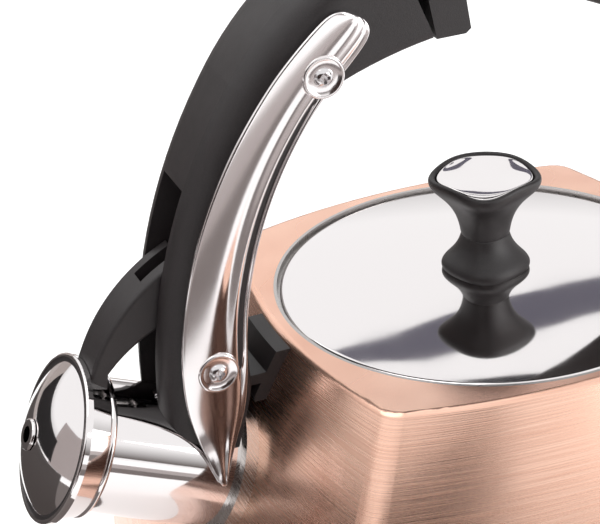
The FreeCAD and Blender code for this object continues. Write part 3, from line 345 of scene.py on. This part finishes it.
@dataclass(frozen=True)
class PlainSteel(Finish):
    """Stamped stainless steel as it leaves the press, satin, with a fine rolling grain."""

    name: str = "stamped_stainless_steel"
    colour: str = "#BDBAB8"
    metallic: float = 1.0
    roughness: float = 0.32
    rolling_mm: tuple[float, float, float] = (6.0, 0.4, 6.0)
    roughness_range: tuple[float, float] = (0.24, 0.42)
    bump_mm: float = 0.02

    def build(self) -> bpy.types.Material:
        """The satin steel with its rolling grain.

        Returns:
            The material.
        """
        material, tree, shader, where = self.start()
        rolling = self.noise(tree, where, self.rolling_mm, detail=3.0)
        tree.links.new(self.spread(tree, rolling.outputs["Fac"], *self.roughness_range),
                       shader.inputs["Roughness"])
        self.bump(tree, shader, rolling.outputs["Fac"], self.bump_mm)
        return material


@dataclass(frozen=True)
class PlatedScrew(Finish):
    """Nickel-plated steel screws, bright, with tiny driver marks."""

    name: str = "nickel_plated_screw"
    colour: str = "#D6D3D4"
    metallic: float = 1.0
    roughness: float = 0.12
    mark_mm: float = 0.7
    roughness_range: tuple[float, float] = (0.08, 0.22)
    bump_mm: float = 0.03

    def build(self) -> bpy.types.Material:
        """The plating with small marks from the driver.

        Returns:
            The material.
        """
        material, tree, shader, where = self.start()
        marks = self.noise(tree, where, (self.mark_mm,) * 3, detail=3.0)
        tree.links.new(self.spread(tree, marks.outputs["Fac"], *self.roughness_range),
                       shader.inputs["Roughness"])
        self.bump(tree, shader, marks.outputs["Fac"], self.bump_mm)
        return material


@dataclass(frozen=True)
class MouldedNylon(Finish):
    """Black glass-filled nylon moulded in a lightly blasted tool.

    It is a warm near-black, fully matt at a glance, with a dull sheen along its rounds and a
    fine even grain.
    """

    name: str = "moulded_black_nylon"
    colour: str = "#1F191A"
    roughness: float = 0.5
    ior: float = 1.53
    grain_mm: float = 0.32          # real grain is about 0.1 mm, drawn coarser to show
    rubbed_mm: float = 14.0
    low_shade: str = "#1B1617"      # in the grain's hollows
    high_shade: str = "#262021"     # on its tops
    bump_mm: float = 0.035

    def build(self) -> bpy.types.Material:
        """The nylon with blasted grain and slightly rubbed patches.

        Returns:
            The material.
        """
        material, tree, shader, where = self.start()
        grain = self.noise(tree, where, (self.grain_mm,) * 3, detail=2.0)
        rubbed = self.noise(tree, where, (self.rubbed_mm,) * 3, detail=3.0)
        tree.links.new(self.spread(tree, rubbed.outputs["Fac"], self.roughness - 0.07, self.roughness + 0.06),
                       shader.inputs["Roughness"])
        tint = add_node(tree, "ShaderNodeMix", data_type="RGBA")
        tint.inputs[MIX_FIRST].default_value = linear(self.low_shade)
        tint.inputs[MIX_SECOND].default_value = linear(self.high_shade)
        tree.links.new(self.spread(tree, grain.outputs["Fac"], 0.0, 1.0), tint.inputs[MIX_FACTOR])
        tree.links.new(tint.outputs[MIX_RESULT], shader.inputs["Base Color"])
        self.bump(tree, shader, grain.outputs["Fac"], self.bump_mm)
        return material


@dataclass(frozen=True)
class SoftSilicone(Finish):
    """Grey food-grade silicone, cloudy and soft, with a faint dusty bloom."""

    name: str = "grey_silicone"
    colour: str = "#77757A"
    roughness: float = 0.55
    ior: float = 1.41
    bloom_mm: float = 3.0
    roughness_range: tuple[float, float] = (0.45, 0.68)
    bump_mm: float = 0.03

    def build(self) -> bpy.types.Material:
        """The silicone with its bloom.

        Returns:
            The material.
        """
        material, tree, shader, where = self.start()
        bloom = self.noise(tree, where, (self.bloom_mm,) * 3, detail=4.0)
        tree.links.new(self.spread(tree, bloom.outputs["Fac"], *self.roughness_range),
                       shader.inputs["Roughness"])
        self.bump(tree, shader, bloom.outputs["Fac"], self.bump_mm)
        return material


@dataclass(frozen=True)
class StudioPaper(Finish):
    """Matt background paper, lit a little from behind where it is white."""

    name: str = "white_studio_paper"
    colour: str = "#FAFAFA"
    roughness: float = 0.9
    glow: float = 0.0
    tooth_mm: float = 1.5
    bump_mm: float = 0.02

    def build(self) -> bpy.types.Material:
        """The paper with its faint tooth.

        Returns:
            The material.
        """
        material, tree, shader, where = self.start()
        shader.inputs["Emission Color"].default_value = linear("#FFFFFF")
        shader.inputs["Emission Strength"].default_value = self.glow
        tooth = self.noise(tree, where, (self.tooth_mm,) * 3, detail=2.0)
        self.bump(tree, shader, tooth.outputs["Fac"], self.bump_mm)
        return material


@dataclass
class Finishes:
    """The finishes of the whole kettle, by slot."""

    made: dict[Slot, bpy.types.Material] = field(default_factory=dict)
    trim: Optional[bpy.types.Material] = None

    def build(self) -> "Finishes":
        """Makes each finish once.

        Returns:
            The set itself.
        """
        kinds: dict[Slot, Finish] = {
            Slot.COPPER: CopperCoat(),
            Slot.POLISHED: MirrorSteel(),
            Slot.SATIN: BrushedRing(),
            Slot.PLAIN: PlainSteel(),
            Slot.SCREW: PlatedScrew(),
            Slot.NYLON: MouldedNylon(),
            Slot.SILICONE: SoftSilicone(),
        }
        for slot, finish in kinds.items():
            self.made[slot] = finish.build()
            LOG.info("finish %s for slot %s", finish.name, slot.value)
        self.trim = SoftPolishedSteel().build()
        return self

    def dress_node(self, name: str, slot: Slot) -> None:
        """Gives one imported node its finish.

        Args:
            name: The node.
            slot: The slot whose finish it takes.
        """
        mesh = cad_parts[name].data
        mesh.materials.clear()
        mesh.materials.append(self.made[slot])

    def dress_piece(self, piece: bpy.types.Object, slot: Slot,
                    special: Optional[bpy.types.Material] = None) -> None:
        """Gives one new piece its finish.

        Args:
            piece: The new piece.
            slot: The slot whose finish it takes.
            special: A finish of its own, within that slot.
        """
        piece.data.materials.append(special or self.made[slot])


# ------------------------------------------------------------------ mesh helpers

def piece_from(bm: bmesh.types.BMesh, name: str, body: str, levels: int = 0) -> bpy.types.Object:
    """Closes a bmesh into an object that rides on a body.

    Args:
        bm: The finished mesh, in metres, in the kettle's frame.
        name: Name of the piece.
        body: The body it moves with.
        levels: Levels of subdivision surface, none if 0.

    Returns:
        The new object.
    """
    bmesh.ops.recalc_face_normals(bm, faces=bm.faces)
    mesh = bpy.data.meshes.new(name)
    bm.to_mesh(mesh)
    bm.free()
    for polygon in mesh.polygons:
        polygon.use_smooth = True
    piece = bpy.data.objects.new(name, mesh)
    bpy.context.scene.collection.objects.link(piece)
    if levels:
        smooth = piece.modifiers.new("smooth", "SUBSURF")
        smooth.levels = levels
        smooth.render_levels = levels
    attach(piece, body)
    LOG.info("piece %s on body %s, %d faces", name, body, len(mesh.polygons))
    return piece


def extrude_rings(bm: bmesh.types.BMesh, rings: Sequence[Sequence[Vector]]) -> None:
    """Lofts a closed skin through rings of equal length, and closes both ends.

    Args:
        bm: The mesh that gets the skin.
        rings: The rings, each a loop of points in metres.
    """
    first = [bm.verts.new(point) for point in rings[0]]
    edges = [bm.edges.new((first[index - 1], first[index])) for index in range(len(first))]
    bm.faces.new(first)
    loop = first
    for ring in rings[1:]:
        grown = bmesh.ops.extrude_edge_only(bm, edges=edges)["geom"]
        fresh = [item for item in grown if isinstance(item, bmesh.types.BMVert)]
        pairs: list[bmesh.types.BMVert] = []
        for vertex in loop:
            pairs.append(next(edge.other_vert(vertex) for edge in vertex.link_edges
                              if edge.other_vert(vertex) in fresh))
        for vertex, point in zip(pairs, ring):
            vertex.co = point
        edges = [edge for edge in grown if isinstance(edge, bmesh.types.BMEdge)
                 and edge.verts[0] in fresh and edge.verts[1] in fresh]
        loop = pairs
    bm.faces.new(loop)


def spin_profile(profile: Sequence[Point], centre: Vector, towards: Vector,
                 steps: int = 64) -> bmesh.types.BMesh:
    """Turns a profile about an axis.

    Args:
        profile: Points as radius and height along the axis, in millimetres.
        centre: Foot of the axis, in metres.
        towards: Direction of the axis.
        steps: Steps of the full turn.

    Returns:
        The turned mesh.
    """
    bm = bmesh.new()
    corners = [bm.verts.new((radius * MM, 0.0, height * MM)) for radius, height in profile]
    edges = [bm.edges.new(pair) for pair in zip(corners, corners[1:])]
    bmesh.ops.spin(bm, geom=corners + edges, cent=(0, 0, 0), axis=(0, 0, 1), dvec=(0, 0, 0),
                   angle=math.tau, steps=steps, use_merge=True)
    bmesh.ops.remove_doubles(bm, verts=bm.verts, dist=WELD)
    turn = Vector((0, 0, 1)).rotation_difference(towards).to_matrix().to_4x4()
    bmesh.ops.transform(bm, matrix=Matrix.Translation(centre) @ turn, verts=bm.verts)
    return bm


# ------------------------------------------------------------------ vessel and lid

@dataclass
class Vessel:
    """The copper-coloured vessel, its pan, its heat disc and the lid's seat."""

    coated: tuple[str, ...] = ("body_shell", "base_pan")
    bare: tuple[str, ...] = ("base_disc", "lid_seat_ring")

    def dress(self, finishes: Finishes) -> None:
        """Coats the vessel and leaves its disc bare.

        Args:
            finishes: The finishes of the whole kettle.
        """
        for name in self.coated:
            finishes.dress_node(name, Slot.COPPER)
        for name in self.bare:
            finishes.dress_node(name, Slot.PLAIN)
        LOG.info("vessel dressed")


@dataclass
class Lid:
    """The polished lid with its rolled rim, inner skirt, gasket, washer and screw."""

    radius_mm: float = 60.0
    rise_mm: float = 3.6
    roll_mm: float = 1.5
    sheet_mm: float = 0.8
    bore_mm: float = 2.2
    inset_power: int = 4           # how late the sheet's inner line draws in towards the rim
    crown_steps: int = 12
    roll_steps: int = 6
    turn_steps: int = 128

    def outer_profile(self) -> list[Point]:
        """The cover's upper line, from its bore over the crown and round its rolled rim.

        Returns:
            Radius and height of each point, in millimetres above the table.
        """
        crown = self.radius_mm - self.roll_mm
        points: list[Point] = []
        for step in range(self.crown_steps + 1):
            out = self.bore_mm + (crown - self.bore_mm) * step / self.crown_steps
            points.append((out, LID_TOP - self.rise_mm * (out / crown) ** 2))
        foot = points[-1][1] - self.roll_mm
        for step in range(1, self.roll_steps + 1):
            turn = math.radians(90 * step / self.roll_steps)
            points.append((crown + self.roll_mm * math.sin(turn), foot + self.roll_mm * math.cos(turn)))
        return points

    def build(self, finishes: Finishes) -> None:
        """Presses the cover with its rolled rim.

        Args:
            finishes: The finishes of the whole kettle.
        """
        outer = self.outer_profile()
        hem = (self.radius_mm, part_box("lid_cover")[0][2] / MM)
        inner: list[Point] = []
        for out, up in outer:
            inset = self.sheet_mm * (out / self.radius_mm) ** self.inset_power
            inner.append((max(self.bore_mm, out - inset), up - self.sheet_mm))
        lip = (self.radius_mm - self.sheet_mm, hem[1])
        profile = outer + [hem, lip] + inner[::-1] + [outer[0]]
        bm = spin_profile(profile, Vector((0, 0, 0)), Vector((0, 0, 1)), steps=self.turn_steps)
        cover = piece_from(bm, "lid_pressing", "lid")
        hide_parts("lid_cover")
        finishes.dress_piece(cover, Slot.POLISHED)

    def dress(self, finishes: Finishes) -> None:
        """Polishes the lid's inside and dresses its small parts.

        Args:
            finishes: The finishes of the whole kettle.
        """
        self.build(finishes)
        finishes.dress_node("lid_skirt", Slot.POLISHED)
        finishes.dress_node("lid_gasket", Slot.SILICONE)
        finishes.dress_node("lid_washer", Slot.PLAIN)
        finishes.dress_node("knob_screw", Slot.SCREW)
        LOG.info("lid dressed")


@dataclass
class Knob:
    """The square knob: a waisted black moulding whose top sides arch, with a mirror plate."""

    turn_deg: float = 18.0
    corner_mm: float = 4.2
    full_corner_half_mm: float = 12.0      # below this half width the corners shrink with it
    bow_mm: float = 0.8
    droop_mm: float = 0.3
    arch_mm: float = 1.3
    back_rise_mm: float = 0.7      # the far corner stands higher and the near one lower
    back_way: Vector = field(default_factory=lambda: Vector((0.32, 0.63, 0.0)))    # to the far corner
    plate_half_mm: float = 11.9
    plate_lift: float = 0.6        # share of the droop and the arch that the plate's field keeps
    plate_shares: tuple[float, ...] = (0.86, 0.66, 0.44, 0.22, 0.06)
    top_mm: float = 28.6
    sections: tuple[tuple[float, float, float], ...] = (
        # height above the lid, half width, share of the corners' droop
        (-1.2, 9.6, 0.0), (-0.3, 10.8, 0.0), (1.4, 11.3, 0.0), (3.1, 10.5, 0.0), (5.1, 8.6, 0.0),
        (7.8, 6.9, 0.0), (10.1, 6.2, 0.0), (10.6, 6.1, 0.0), (10.8, 5.85, 0.0), (11.0, 6.1, 0.0),
        (13.8, 6.4, 0.0), (17.8, 7.5, 0.1), (21.4, 9.6, 0.35), (23.8, 11.8, 0.8), (25.4, 13.1, 1.0),
        (26.9, 13.6, 1.0), (28.2, 13.6, 1.0), (28.8, 13.2, 1.0), (28.8, 12.5, 1.0), (28.1, 12.1, 1.0),
        (27.0, 11.9, 1.0), (24.2, 8.0, 0.2), (23.8, 4.0, 0.0),
    )

    def ring(self, height: float, half: float, lift: float) -> list[Vector]:
        """One level of the knob as a loop of twelve points.

        Args:
            height: Height above the lid's top, in millimetres.
            half: Half of the square's width, in millimetres.
            lift: Share of the corners' droop and the sides' arch.

        Returns:
            The points in metres.
        """
        corner = half - self.corner_mm * min(1.0, half / self.full_corner_half_mm)
        quarter = [(half, -corner, -self.droop_mm), (half + self.bow_mm, 0.0, self.arch_mm),
                   (half, corner, -self.droop_mm)]
        points: list[Vector] = []
        for side in range(4):
            turn = Matrix.Rotation(math.radians(90 * side + self.turn_deg), 3, "Z")
            for across, along, rise in quarter:
                point = turn @ Vector((across, along, 0.0))
                back = point.dot(self.back_way) / half
                point.z = LID_TOP + height + (rise + self.back_rise_mm * back) * lift
                points.append(point * MM)
        return points

    def build(self, finishes: Finishes) -> None:
        """Makes the moulding and its mirror plate.

        Args:
            finishes: The finishes of the whole kettle.
        """
        bm = bmesh.new()
        extrude_rings(bm, [self.ring(*section) for section in self.sections])
        grip = piece_from(bm, "knob_moulding", "lid", levels=3)
        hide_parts("knob_foot", "knob_grip")
        finishes.dress_piece(grip, Slot.NYLON)
        plate = bmesh.new()
        half = self.plate_half_mm
        rings = [self.ring(self.top_mm - 1.2, half, 1.0), self.ring(self.top_mm - 0.35, half, 1.0),
                 self.ring(self.top_mm - 0.1, half - 0.3, 0.8)]
        for share in self.plate_shares:
            rings.append(self.ring(self.top_mm, half * share, share ** 3 * self.plate_lift))
        extrude_rings(plate, rings)
        mirror = piece_from(plate, "knob_mirror_plate", "lid", levels=3)
        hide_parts("knob_inlay")
        finishes.dress_piece(mirror, Slot.POLISHED)


# ------------------------------------------------------------------ handle

@dataclass(frozen=True)
class Station:
    """One cut across a side strap, seen from the side, in the handle oval's frame."""

    outer: Point
    inner: Point
    face: float = 17.3       # mm, how far the face stands out from the middle plane
    bead: float = 0.0        # share of the flange bead along the inner edge
    crease: float = 1.0      # share of the soft crease and the rolled inner edge
    sheet: float = 1.7       # mm, thickness


@dataclass
class SideStraps:
    """The two polished straps, with a soft crease, a flanged inner edge and a pointed foot."""

    innermost: float = 14.6  # mm, no point of a strap lies nearer to the middle plane
    stations: tuple[Station, ...] = (
        Station((-46.2, 105.7), (-41.2, 102.3), face=16.9),
        Station((-49.8, 106.1), (-39.3, 99.3), face=17.2),
        Station((-53.4, 104.2), (-40.8, 95.8)),
        Station((-59.6, 98.8), (-46.9, 89.6)),
        Station((-64.2, 94.3), (-52.3, 84.2), bead=0.2),
        Station((-68.7, 89.5), (-57.3, 78.6), bead=0.6),
        Station((-77.7, 77.6), (-65.2, 66.7), bead=1.0),
        Station((-86.3, 62.8), (-71.6, 53.1), bead=1.0),
        Station((-92.7, 46.9), (-75.9, 39.6), bead=1.0),
        Station((-96.8, 30.2), (-78.6, 25.6), bead=1.0),
        Station((-98.2, 19.8), (-79.2, 15.4), bead=0.9),
        Station((-98.6, 13.0), (-79.6, 9.8), bead=0.2),
        Station((-98.4, 2.5), (-80.9, -1.0)),
        Station((-96.6, -6.2), (-83.2, -7.0), face=17.5),
        Station((-94.4, -13.2), (-86.2, -13.0), face=18.7, crease=0.8, sheet=1.6),
        Station((-92.6, -18.6), (-88.9, -18.4), face=20.8, crease=0.4, sheet=1.4),
        Station((-91.6, -22.0), (-90.2, -21.9), face=21.3, crease=0.1, sheet=1.3),
    )

    def profile(self, station: Station) -> list[tuple[float, float]]:
        """The closed cross-section at a station.

        Args:
            station: The cut.

        Returns:
            Pairs of the share of the way from the outer to the inner edge, and the depth
            behind the face in millimetres.
        """
        soft = station.crease
        bead = station.bead
        back = station.sheet
        return [
            (0.0, back), (0.0, 0.35 * back), (0.012, 0.06), (0.05, 0.0),
            (0.22, -0.12 * soft), (0.46, 0.0), (0.58, 0.55 * soft), (0.66, 0.75 * soft),
            (0.78, 0.62 * soft), (0.85 - 0.02 * bead, 1.0 * soft),
            (0.875, min(back - 0.1, 1.15 * soft) + 2.2 * bead),
            (0.90, min(back - 0.1, 1.2 * soft) + 2.2 * bead),
            (0.925, 1.25 * soft + 0.35 * bead), (0.955, 1.28 * soft - 0.25 * bead),
            (0.985, 1.3 * soft - 0.1 * bead), (1.0, back - 0.1 + 0.9 * bead),
            (0.99, back + 2.0 * bead), (0.93, back + 2.6 * bead), (0.84, back + 2.6 * bead),
            (0.5, back),
        ]

    def ring(self, station: Station, side: Side) -> list[Vector]:
        """The cross-section at a station as points in metres.

        Args:
            station: The cut.
            side: Which flank.

        Returns:
            The loop of points.
        """
        outer = Vector((station.outer[0], 0.0, station.outer[1] + OVAL_HEIGHT))
        inner = Vector((station.inner[0], 0.0, station.inner[1] + OVAL_HEIGHT))
        points: list[Vector] = []
        for share, depth in self.profile(station):
            point = outer.lerp(inner, share)
            point.y = side.value * (station.face - min(depth, station.face - self.innermost))
            points.append(point * MM)
        return points

    def build(self, finishes: Finishes) -> None:
        """Makes both straps.

        Args:
            finishes: The finishes of the whole kettle.
        """
        for side, node in ((Side.LEFT, "side_strap_left"), (Side.RIGHT, "side_strap_right")):
            bm = bmesh.new()
            extrude_rings(bm, [self.ring(station, side) for station in self.stations])
            strap = piece_from(bm, f"polished_{node}", "root", levels=3)
            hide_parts(node)
            finishes.dress_piece(strap, Slot.POLISHED, finishes.trim)


@dataclass
class ScrewDimples:
    """Dished seats with a raised edge, pressed into the straps round their screws."""

    face: float = 17.15      # mm, how far the seats' plane stands out from the middle plane
    places: dict[str, Point] = field(default_factory=lambda: {
        "upper": (-53.8, 89.5), "lower": (-88.6, 11.9)})
    profile: tuple[Point, ...] = (
        (6.0, -1.0), (5.85, 0.05), (5.6, 0.5), (5.2, 0.62), (4.8, 0.45), (4.2, 0.2),
        (3.0, 0.12), (0.0, 0.1),
    )

    def build(self, finishes: Finishes) -> None:
        """Makes the four seats.

        Args:
            finishes: The finishes of the whole kettle.
        """
        for side in Side:
            for name, (reach, rise) in self.places.items():
                centre = Vector((reach, side.value * self.face, rise + OVAL_HEIGHT)) * MM
                bm = spin_profile(self.profile, centre, Vector((0, side.value, 0)))
                seat = piece_from(bm, f"screw_dimple_{name}_{side.name.lower()}", "root")
                finishes.dress_piece(seat, Slot.POLISHED, finishes.trim)


@dataclass
class Handle:
    """The black handle with its cover, its bracket, pins and screws."""

    def dress(self, finishes: Finishes) -> None:
        """Gives the handle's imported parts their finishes.

        Args:
            finishes: The finishes of the whole kettle.
        """
        for name in ("handle_frame", "handle_cover"):
            finishes.dress_node(name, Slot.NYLON)
        finishes.dress_node("mount_bracket", Slot.NYLON)
        for name in ("arm_pin", "trigger_pin"):
            finishes.dress_node(name, Slot.PLAIN)
        for level in ("upper", "lower"):
            for side in ("left", "right"):
                finishes.dress_node(f"strap_screw_{level}_{side}", Slot.SCREW)
        finishes.dress_node("leg_screw", Slot.SCREW)
        LOG.info("handle dressed")


# ------------------------------------------------------------------ spout, cap and linkage

@dataclass
class Spout:
    """The polished spout and the brushed ring at its foot."""

    def dress(self, finishes: Finishes) -> None:
        """Polishes the tube and brushes the ring.

        Args:
            finishes: The finishes of the whole kettle.
        """
        finishes.dress_node("spout_tube", Slot.POLISHED)
        finishes.dress_node("spout_collar", Slot.SATIN)
        LOG.info("spout dressed")


@dataclass
class WhistleCap:
    """The whistle cap on its swinging arm."""

    def dress(self, finishes: Finishes) -> None:
        """Gives the cap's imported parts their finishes.

        Args:
            finishes: The finishes of the whole kettle.
        """
        for name in ("cap_skirt", "cap_dome", "whistle_eyelet"):
            finishes.dress_node(name, Slot.POLISHED)
        for name in ("cap_groove_ring", "spout_arm"):
            finishes.dress_node(name, Slot.NYLON)
        for name in ("whistle_plate", "rod_pin_front"):
            finishes.dress_node(name, Slot.PLAIN)
        finishes.dress_node("cap_seal", Slot.SILICONE)
        LOG.info("whistle cap dressed")


@dataclass
class Linkage:
    """The pull rod, the trigger and its spring."""

    def dress(self, finishes: Finishes) -> None:
        """Gives the linkage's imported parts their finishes.

        Args:
            finishes: The finishes of the whole kettle.
        """
        finishes.dress_node("trigger", Slot.NYLON)
        for name in ("pull_rod", "rod_pin_rear", "trigger_spring"):
            finishes.dress_node(name, Slot.PLAIN)
        LOG.info("linkage dressed")


# ------------------------------------------------------------------ studio

@dataclass(frozen=True)
class SoftBox:
    """A plain rectangular studio light."""

    name: str
    at: tuple[float, float, float]
    size: tuple[float, float]
    power: float
    aim: tuple[float, float, float] = (-0.02, 0.0, 0.12)
    colour: str = "#FFFFFF"


@dataclass
class Studio:
    """White floor, soft lights, plain cards and the camera."""

    floor_half: float = 6.0
    floor_glow: float = 0.12
    cards: tuple[tuple[str, str, tuple[tuple[float, float, float], ...]], ...] = (
        ("dark_card_back_left", "#1C191A", (
            (-1.15, 0.35, 0.05), (-0.45, 0.95, 0.05), (-0.45, 0.95, 0.34), (-1.15, 0.35, 0.34))),
        ("grey_card_left", "#A39A98", (
            (-1.35, -0.75, 0.0), (-1.35, 0.5, 0.0), (-1.35, 0.5, 0.75), (-1.35, -0.75, 0.75))),
        ("dark_edge_left", "#241F20", (
            (-1.3, -0.62, 0.0), (-1.3, -0.5, 0.0), (-1.3, -0.5, 0.9), (-1.3, -0.62, 0.9))),
        ("dark_card_front_left", "#2C1812", (
            (-1.3, -0.9, 0.0), (0.16, -1.25, 0.0), (0.16, -1.25, 0.85), (-1.3, -0.9, 0.8))),
        ("dark_floor_front_left", "#2A2424", (
            (-1.3, -1.25, 0.002), (0.0, -1.25, 0.002), (-0.05, -0.55, 0.002), (-1.3, -0.55, 0.002))),
        ("dark_floor_left", "#3A3331", (
            (-1.3, 0.1, 0.002), (-0.16, 0.03, 0.002), (-0.2, 0.6, 0.002), (-1.3, 0.9, 0.002))),
        ("grey_floor_spout", "#6B6462", (
            (-0.75, -0.3, 0.001), (-0.13, -0.12, 0.001), (-0.13, 0.03, 0.001), (-0.75, 0.09, 0.001))),
        ("grey_card_front_floor", "#A8A09E", (
            (-0.6, -0.55, 0.001), (0.4, -0.55, 0.001), (0.4, -0.36, 0.001), (-0.6, -0.36, 0.001))),
        ("dark_strip_front_floor", "#6F6765", (
            (-0.6, -0.36, 0.001), (0.25, -0.36, 0.001), (0.25, -0.25, 0.001), (-0.6, -0.25, 0.001))),
        ("grey_wall_behind", "#A69D99", (
            (-1.1, 1.5, 0.0), (0.2, 1.6, 0.0), (0.2, 1.6, 0.5), (-1.1, 1.5, 0.5))),
        ("grey_floor_behind", "#A69D99", (
            (-0.9, 0.62, 0.0015), (0.15, 0.3, 0.0015), (0.1, 1.6, 0.0015), (-0.9, 1.6, 0.0015))),
        ("grey_band_over_back", "#5E5C68", (
            (0.122, 0.9, 0.886), (0.278, 0.9, 0.890), (0.446, 0.9, 0.834), (0.566, 0.9, 0.795),
            (0.95, 0.9, 0.62), (0.95, 0.9, 0.80), (0.622, 0.9, 0.967), (0.487, 0.9, 1.037),
            (0.328, 0.9, 1.041), (0.137, 0.9, 0.941))),
        ("dark_lens_over_back", "#26252B", (
            (0.286, 0.9, 1.174), (0.414, 0.9, 1.193), (0.541, 0.9, 1.215), (0.666, 0.9, 1.256),
            (0.658, 0.9, 1.343), (0.491, 0.9, 1.328))),
    )
    azimuth_deg: float = -20.22
    elevation_deg: float = 27.67
    roll_deg: float = -3.76
    lens_mm: float = 108.0
    sensor_mm: float = 36.0
    eye: tuple[float, float, float] = (-0.2089, -0.4123, 0.3736)
    sky: str = "#FFFFFF"
    low_sky: str = "#6E6866"       # below the horizon and just above it
    sky_full_at: float = 0.3       # height, as a share of the way up, where the sky is full
    sky_strength: float = 1.15
    lights: tuple[SoftBox, ...] = (
        SoftBox("key_overhead", (-0.5, 0.35, 1.5), (1.3, 1.3), 6.0),
        SoftBox("fill_right", (1.05, -1.0, 0.35), (0.7, 0.7), 6.0),
    )

    def card(self, name: str, corners: Sequence[Sequence[float]], shade: str) -> None:
        """Stands a plain card in the studio.

        Args:
            name: Name of the card.
            corners: Its corners in metres, in order.
            shade: Its colour.
        """
        bm = bmesh.new()
        bm.faces.new([bm.verts.new(corner) for corner in corners])
        mesh = bpy.data.meshes.new(name)
        bm.to_mesh(mesh)
        bm.free()
        card = bpy.data.objects.new(name, mesh)
        bpy.context.scene.collection.objects.link(card)
        card.data.materials.append(StudioPaper(name=f"paper_{name}", colour=shade).build())
        card.visible_camera = False
        card.visible_shadow = False
        card.visible_diffuse = False

    def build_floor(self) -> None:
        """Lays the white floor."""
        bm = bmesh.new()
        bmesh.ops.create_grid(bm, x_segments=1, y_segments=1, size=self.floor_half)
        mesh = bpy.data.meshes.new("studio_floor")
        bm.to_mesh(mesh)
        bm.free()
        floor = bpy.data.objects.new("studio_floor", mesh)
        bpy.context.scene.collection.objects.link(floor)
        floor.data.materials.append(StudioPaper(glow=self.floor_glow).build())

    def build_lights(self) -> None:
        """Hangs the soft boxes and lights the room evenly."""
        world = bpy.data.worlds.new("studio_room")
        bpy.context.scene.world = world
        world.use_nodes = True
        tree = world.node_tree
        tree.nodes.clear()
        where = add_node(tree, "ShaderNodeTexCoord")
        split = add_node(tree, "ShaderNodeSeparateXYZ", links={0: where.outputs["Generated"]})
        ramp = add_node(tree, "ShaderNodeValToRGB", links={"Fac": split.outputs["Z"]})
        ramp.color_ramp.elements[0].color = linear(self.low_sky)
        ramp.color_ramp.elements[1].color = linear(self.sky)
        ramp.color_ramp.elements[1].position = self.sky_full_at
        back = add_node(tree, "ShaderNodeBackground", {"Strength": self.sky_strength},
                        {"Color": ramp.outputs["Color"]})
        add_node(tree, "ShaderNodeOutputWorld", links={"Surface": back.outputs[0]})
        for box in self.lights:
            lamp = bpy.data.lights.new(box.name, "AREA")
            lamp.shape = "RECTANGLE"
            lamp.size, lamp.size_y = box.size
            lamp.energy = box.power
            lamp.color = linear(box.colour)[:3]
            holder = bpy.data.objects.new(box.name, lamp)
            holder.location = box.at
            way = Vector(box.aim) - Vector(box.at)
            holder.rotation_euler = way.to_track_quat("-Z", "Y").to_euler()
            bpy.context.scene.collection.objects.link(holder)

    def build_camera(self) -> None:
        """Sets the camera where the kettle is seen from its spout side, from above."""
        azimuth = math.radians(self.azimuth_deg)
        elevation = math.radians(self.elevation_deg)
        roll = math.radians(self.roll_deg)
        back = Vector((math.sin(azimuth) * math.cos(elevation), -math.cos(azimuth) * math.cos(elevation),
                       math.sin(elevation)))
        level = Vector((math.cos(azimuth), math.sin(azimuth), 0.0))
        upright = back.cross(level)
        right = level * math.cos(roll) + upright * math.sin(roll)
        up = upright * math.cos(roll) - level * math.sin(roll)
        data = bpy.data.cameras.new("front_camera")
        data.lens = self.lens_mm
        data.sensor_width = self.sensor_mm
        data.sensor_fit = "HORIZONTAL"
        data.clip_start = 0.01
        camera = bpy.data.objects.new("front_camera", data)
        turn = Matrix((right, up, back)).transposed().to_4x4()
        camera.matrix_world = Matrix.Translation(self.eye) @ turn
        bpy.context.scene.collection.objects.link(camera)
        bpy.context.scene.camera = camera

    def build(self) -> None:
        """Sets up the whole studio."""
        self.build_floor()
        for name, shade, corners in self.cards:
            self.card(name, corners, shade)
        self.build_lights()
        self.build_camera()
        bpy.context.scene.view_settings.view_transform = "Standard"
        LOG.info("studio set")


def main() -> None:
    """Builds the studio, the finishes and each sub-assembly in order."""
    logging.basicConfig(level=logging.INFO, format="%(name)s: %(message)s")
    Studio().build()
    finishes = Finishes().build()
    Vessel().dress(finishes)
    Lid().dress(finishes)
    Knob().build(finishes)
    Handle().dress(finishes)
    SideStraps().build(finishes)
    ScrewDimples().build(finishes)
    Spout().dress(finishes)
    WhistleCap().dress(finishes)
    Linkage().dress(finishes)


if __name__ == "__main__":
    main()
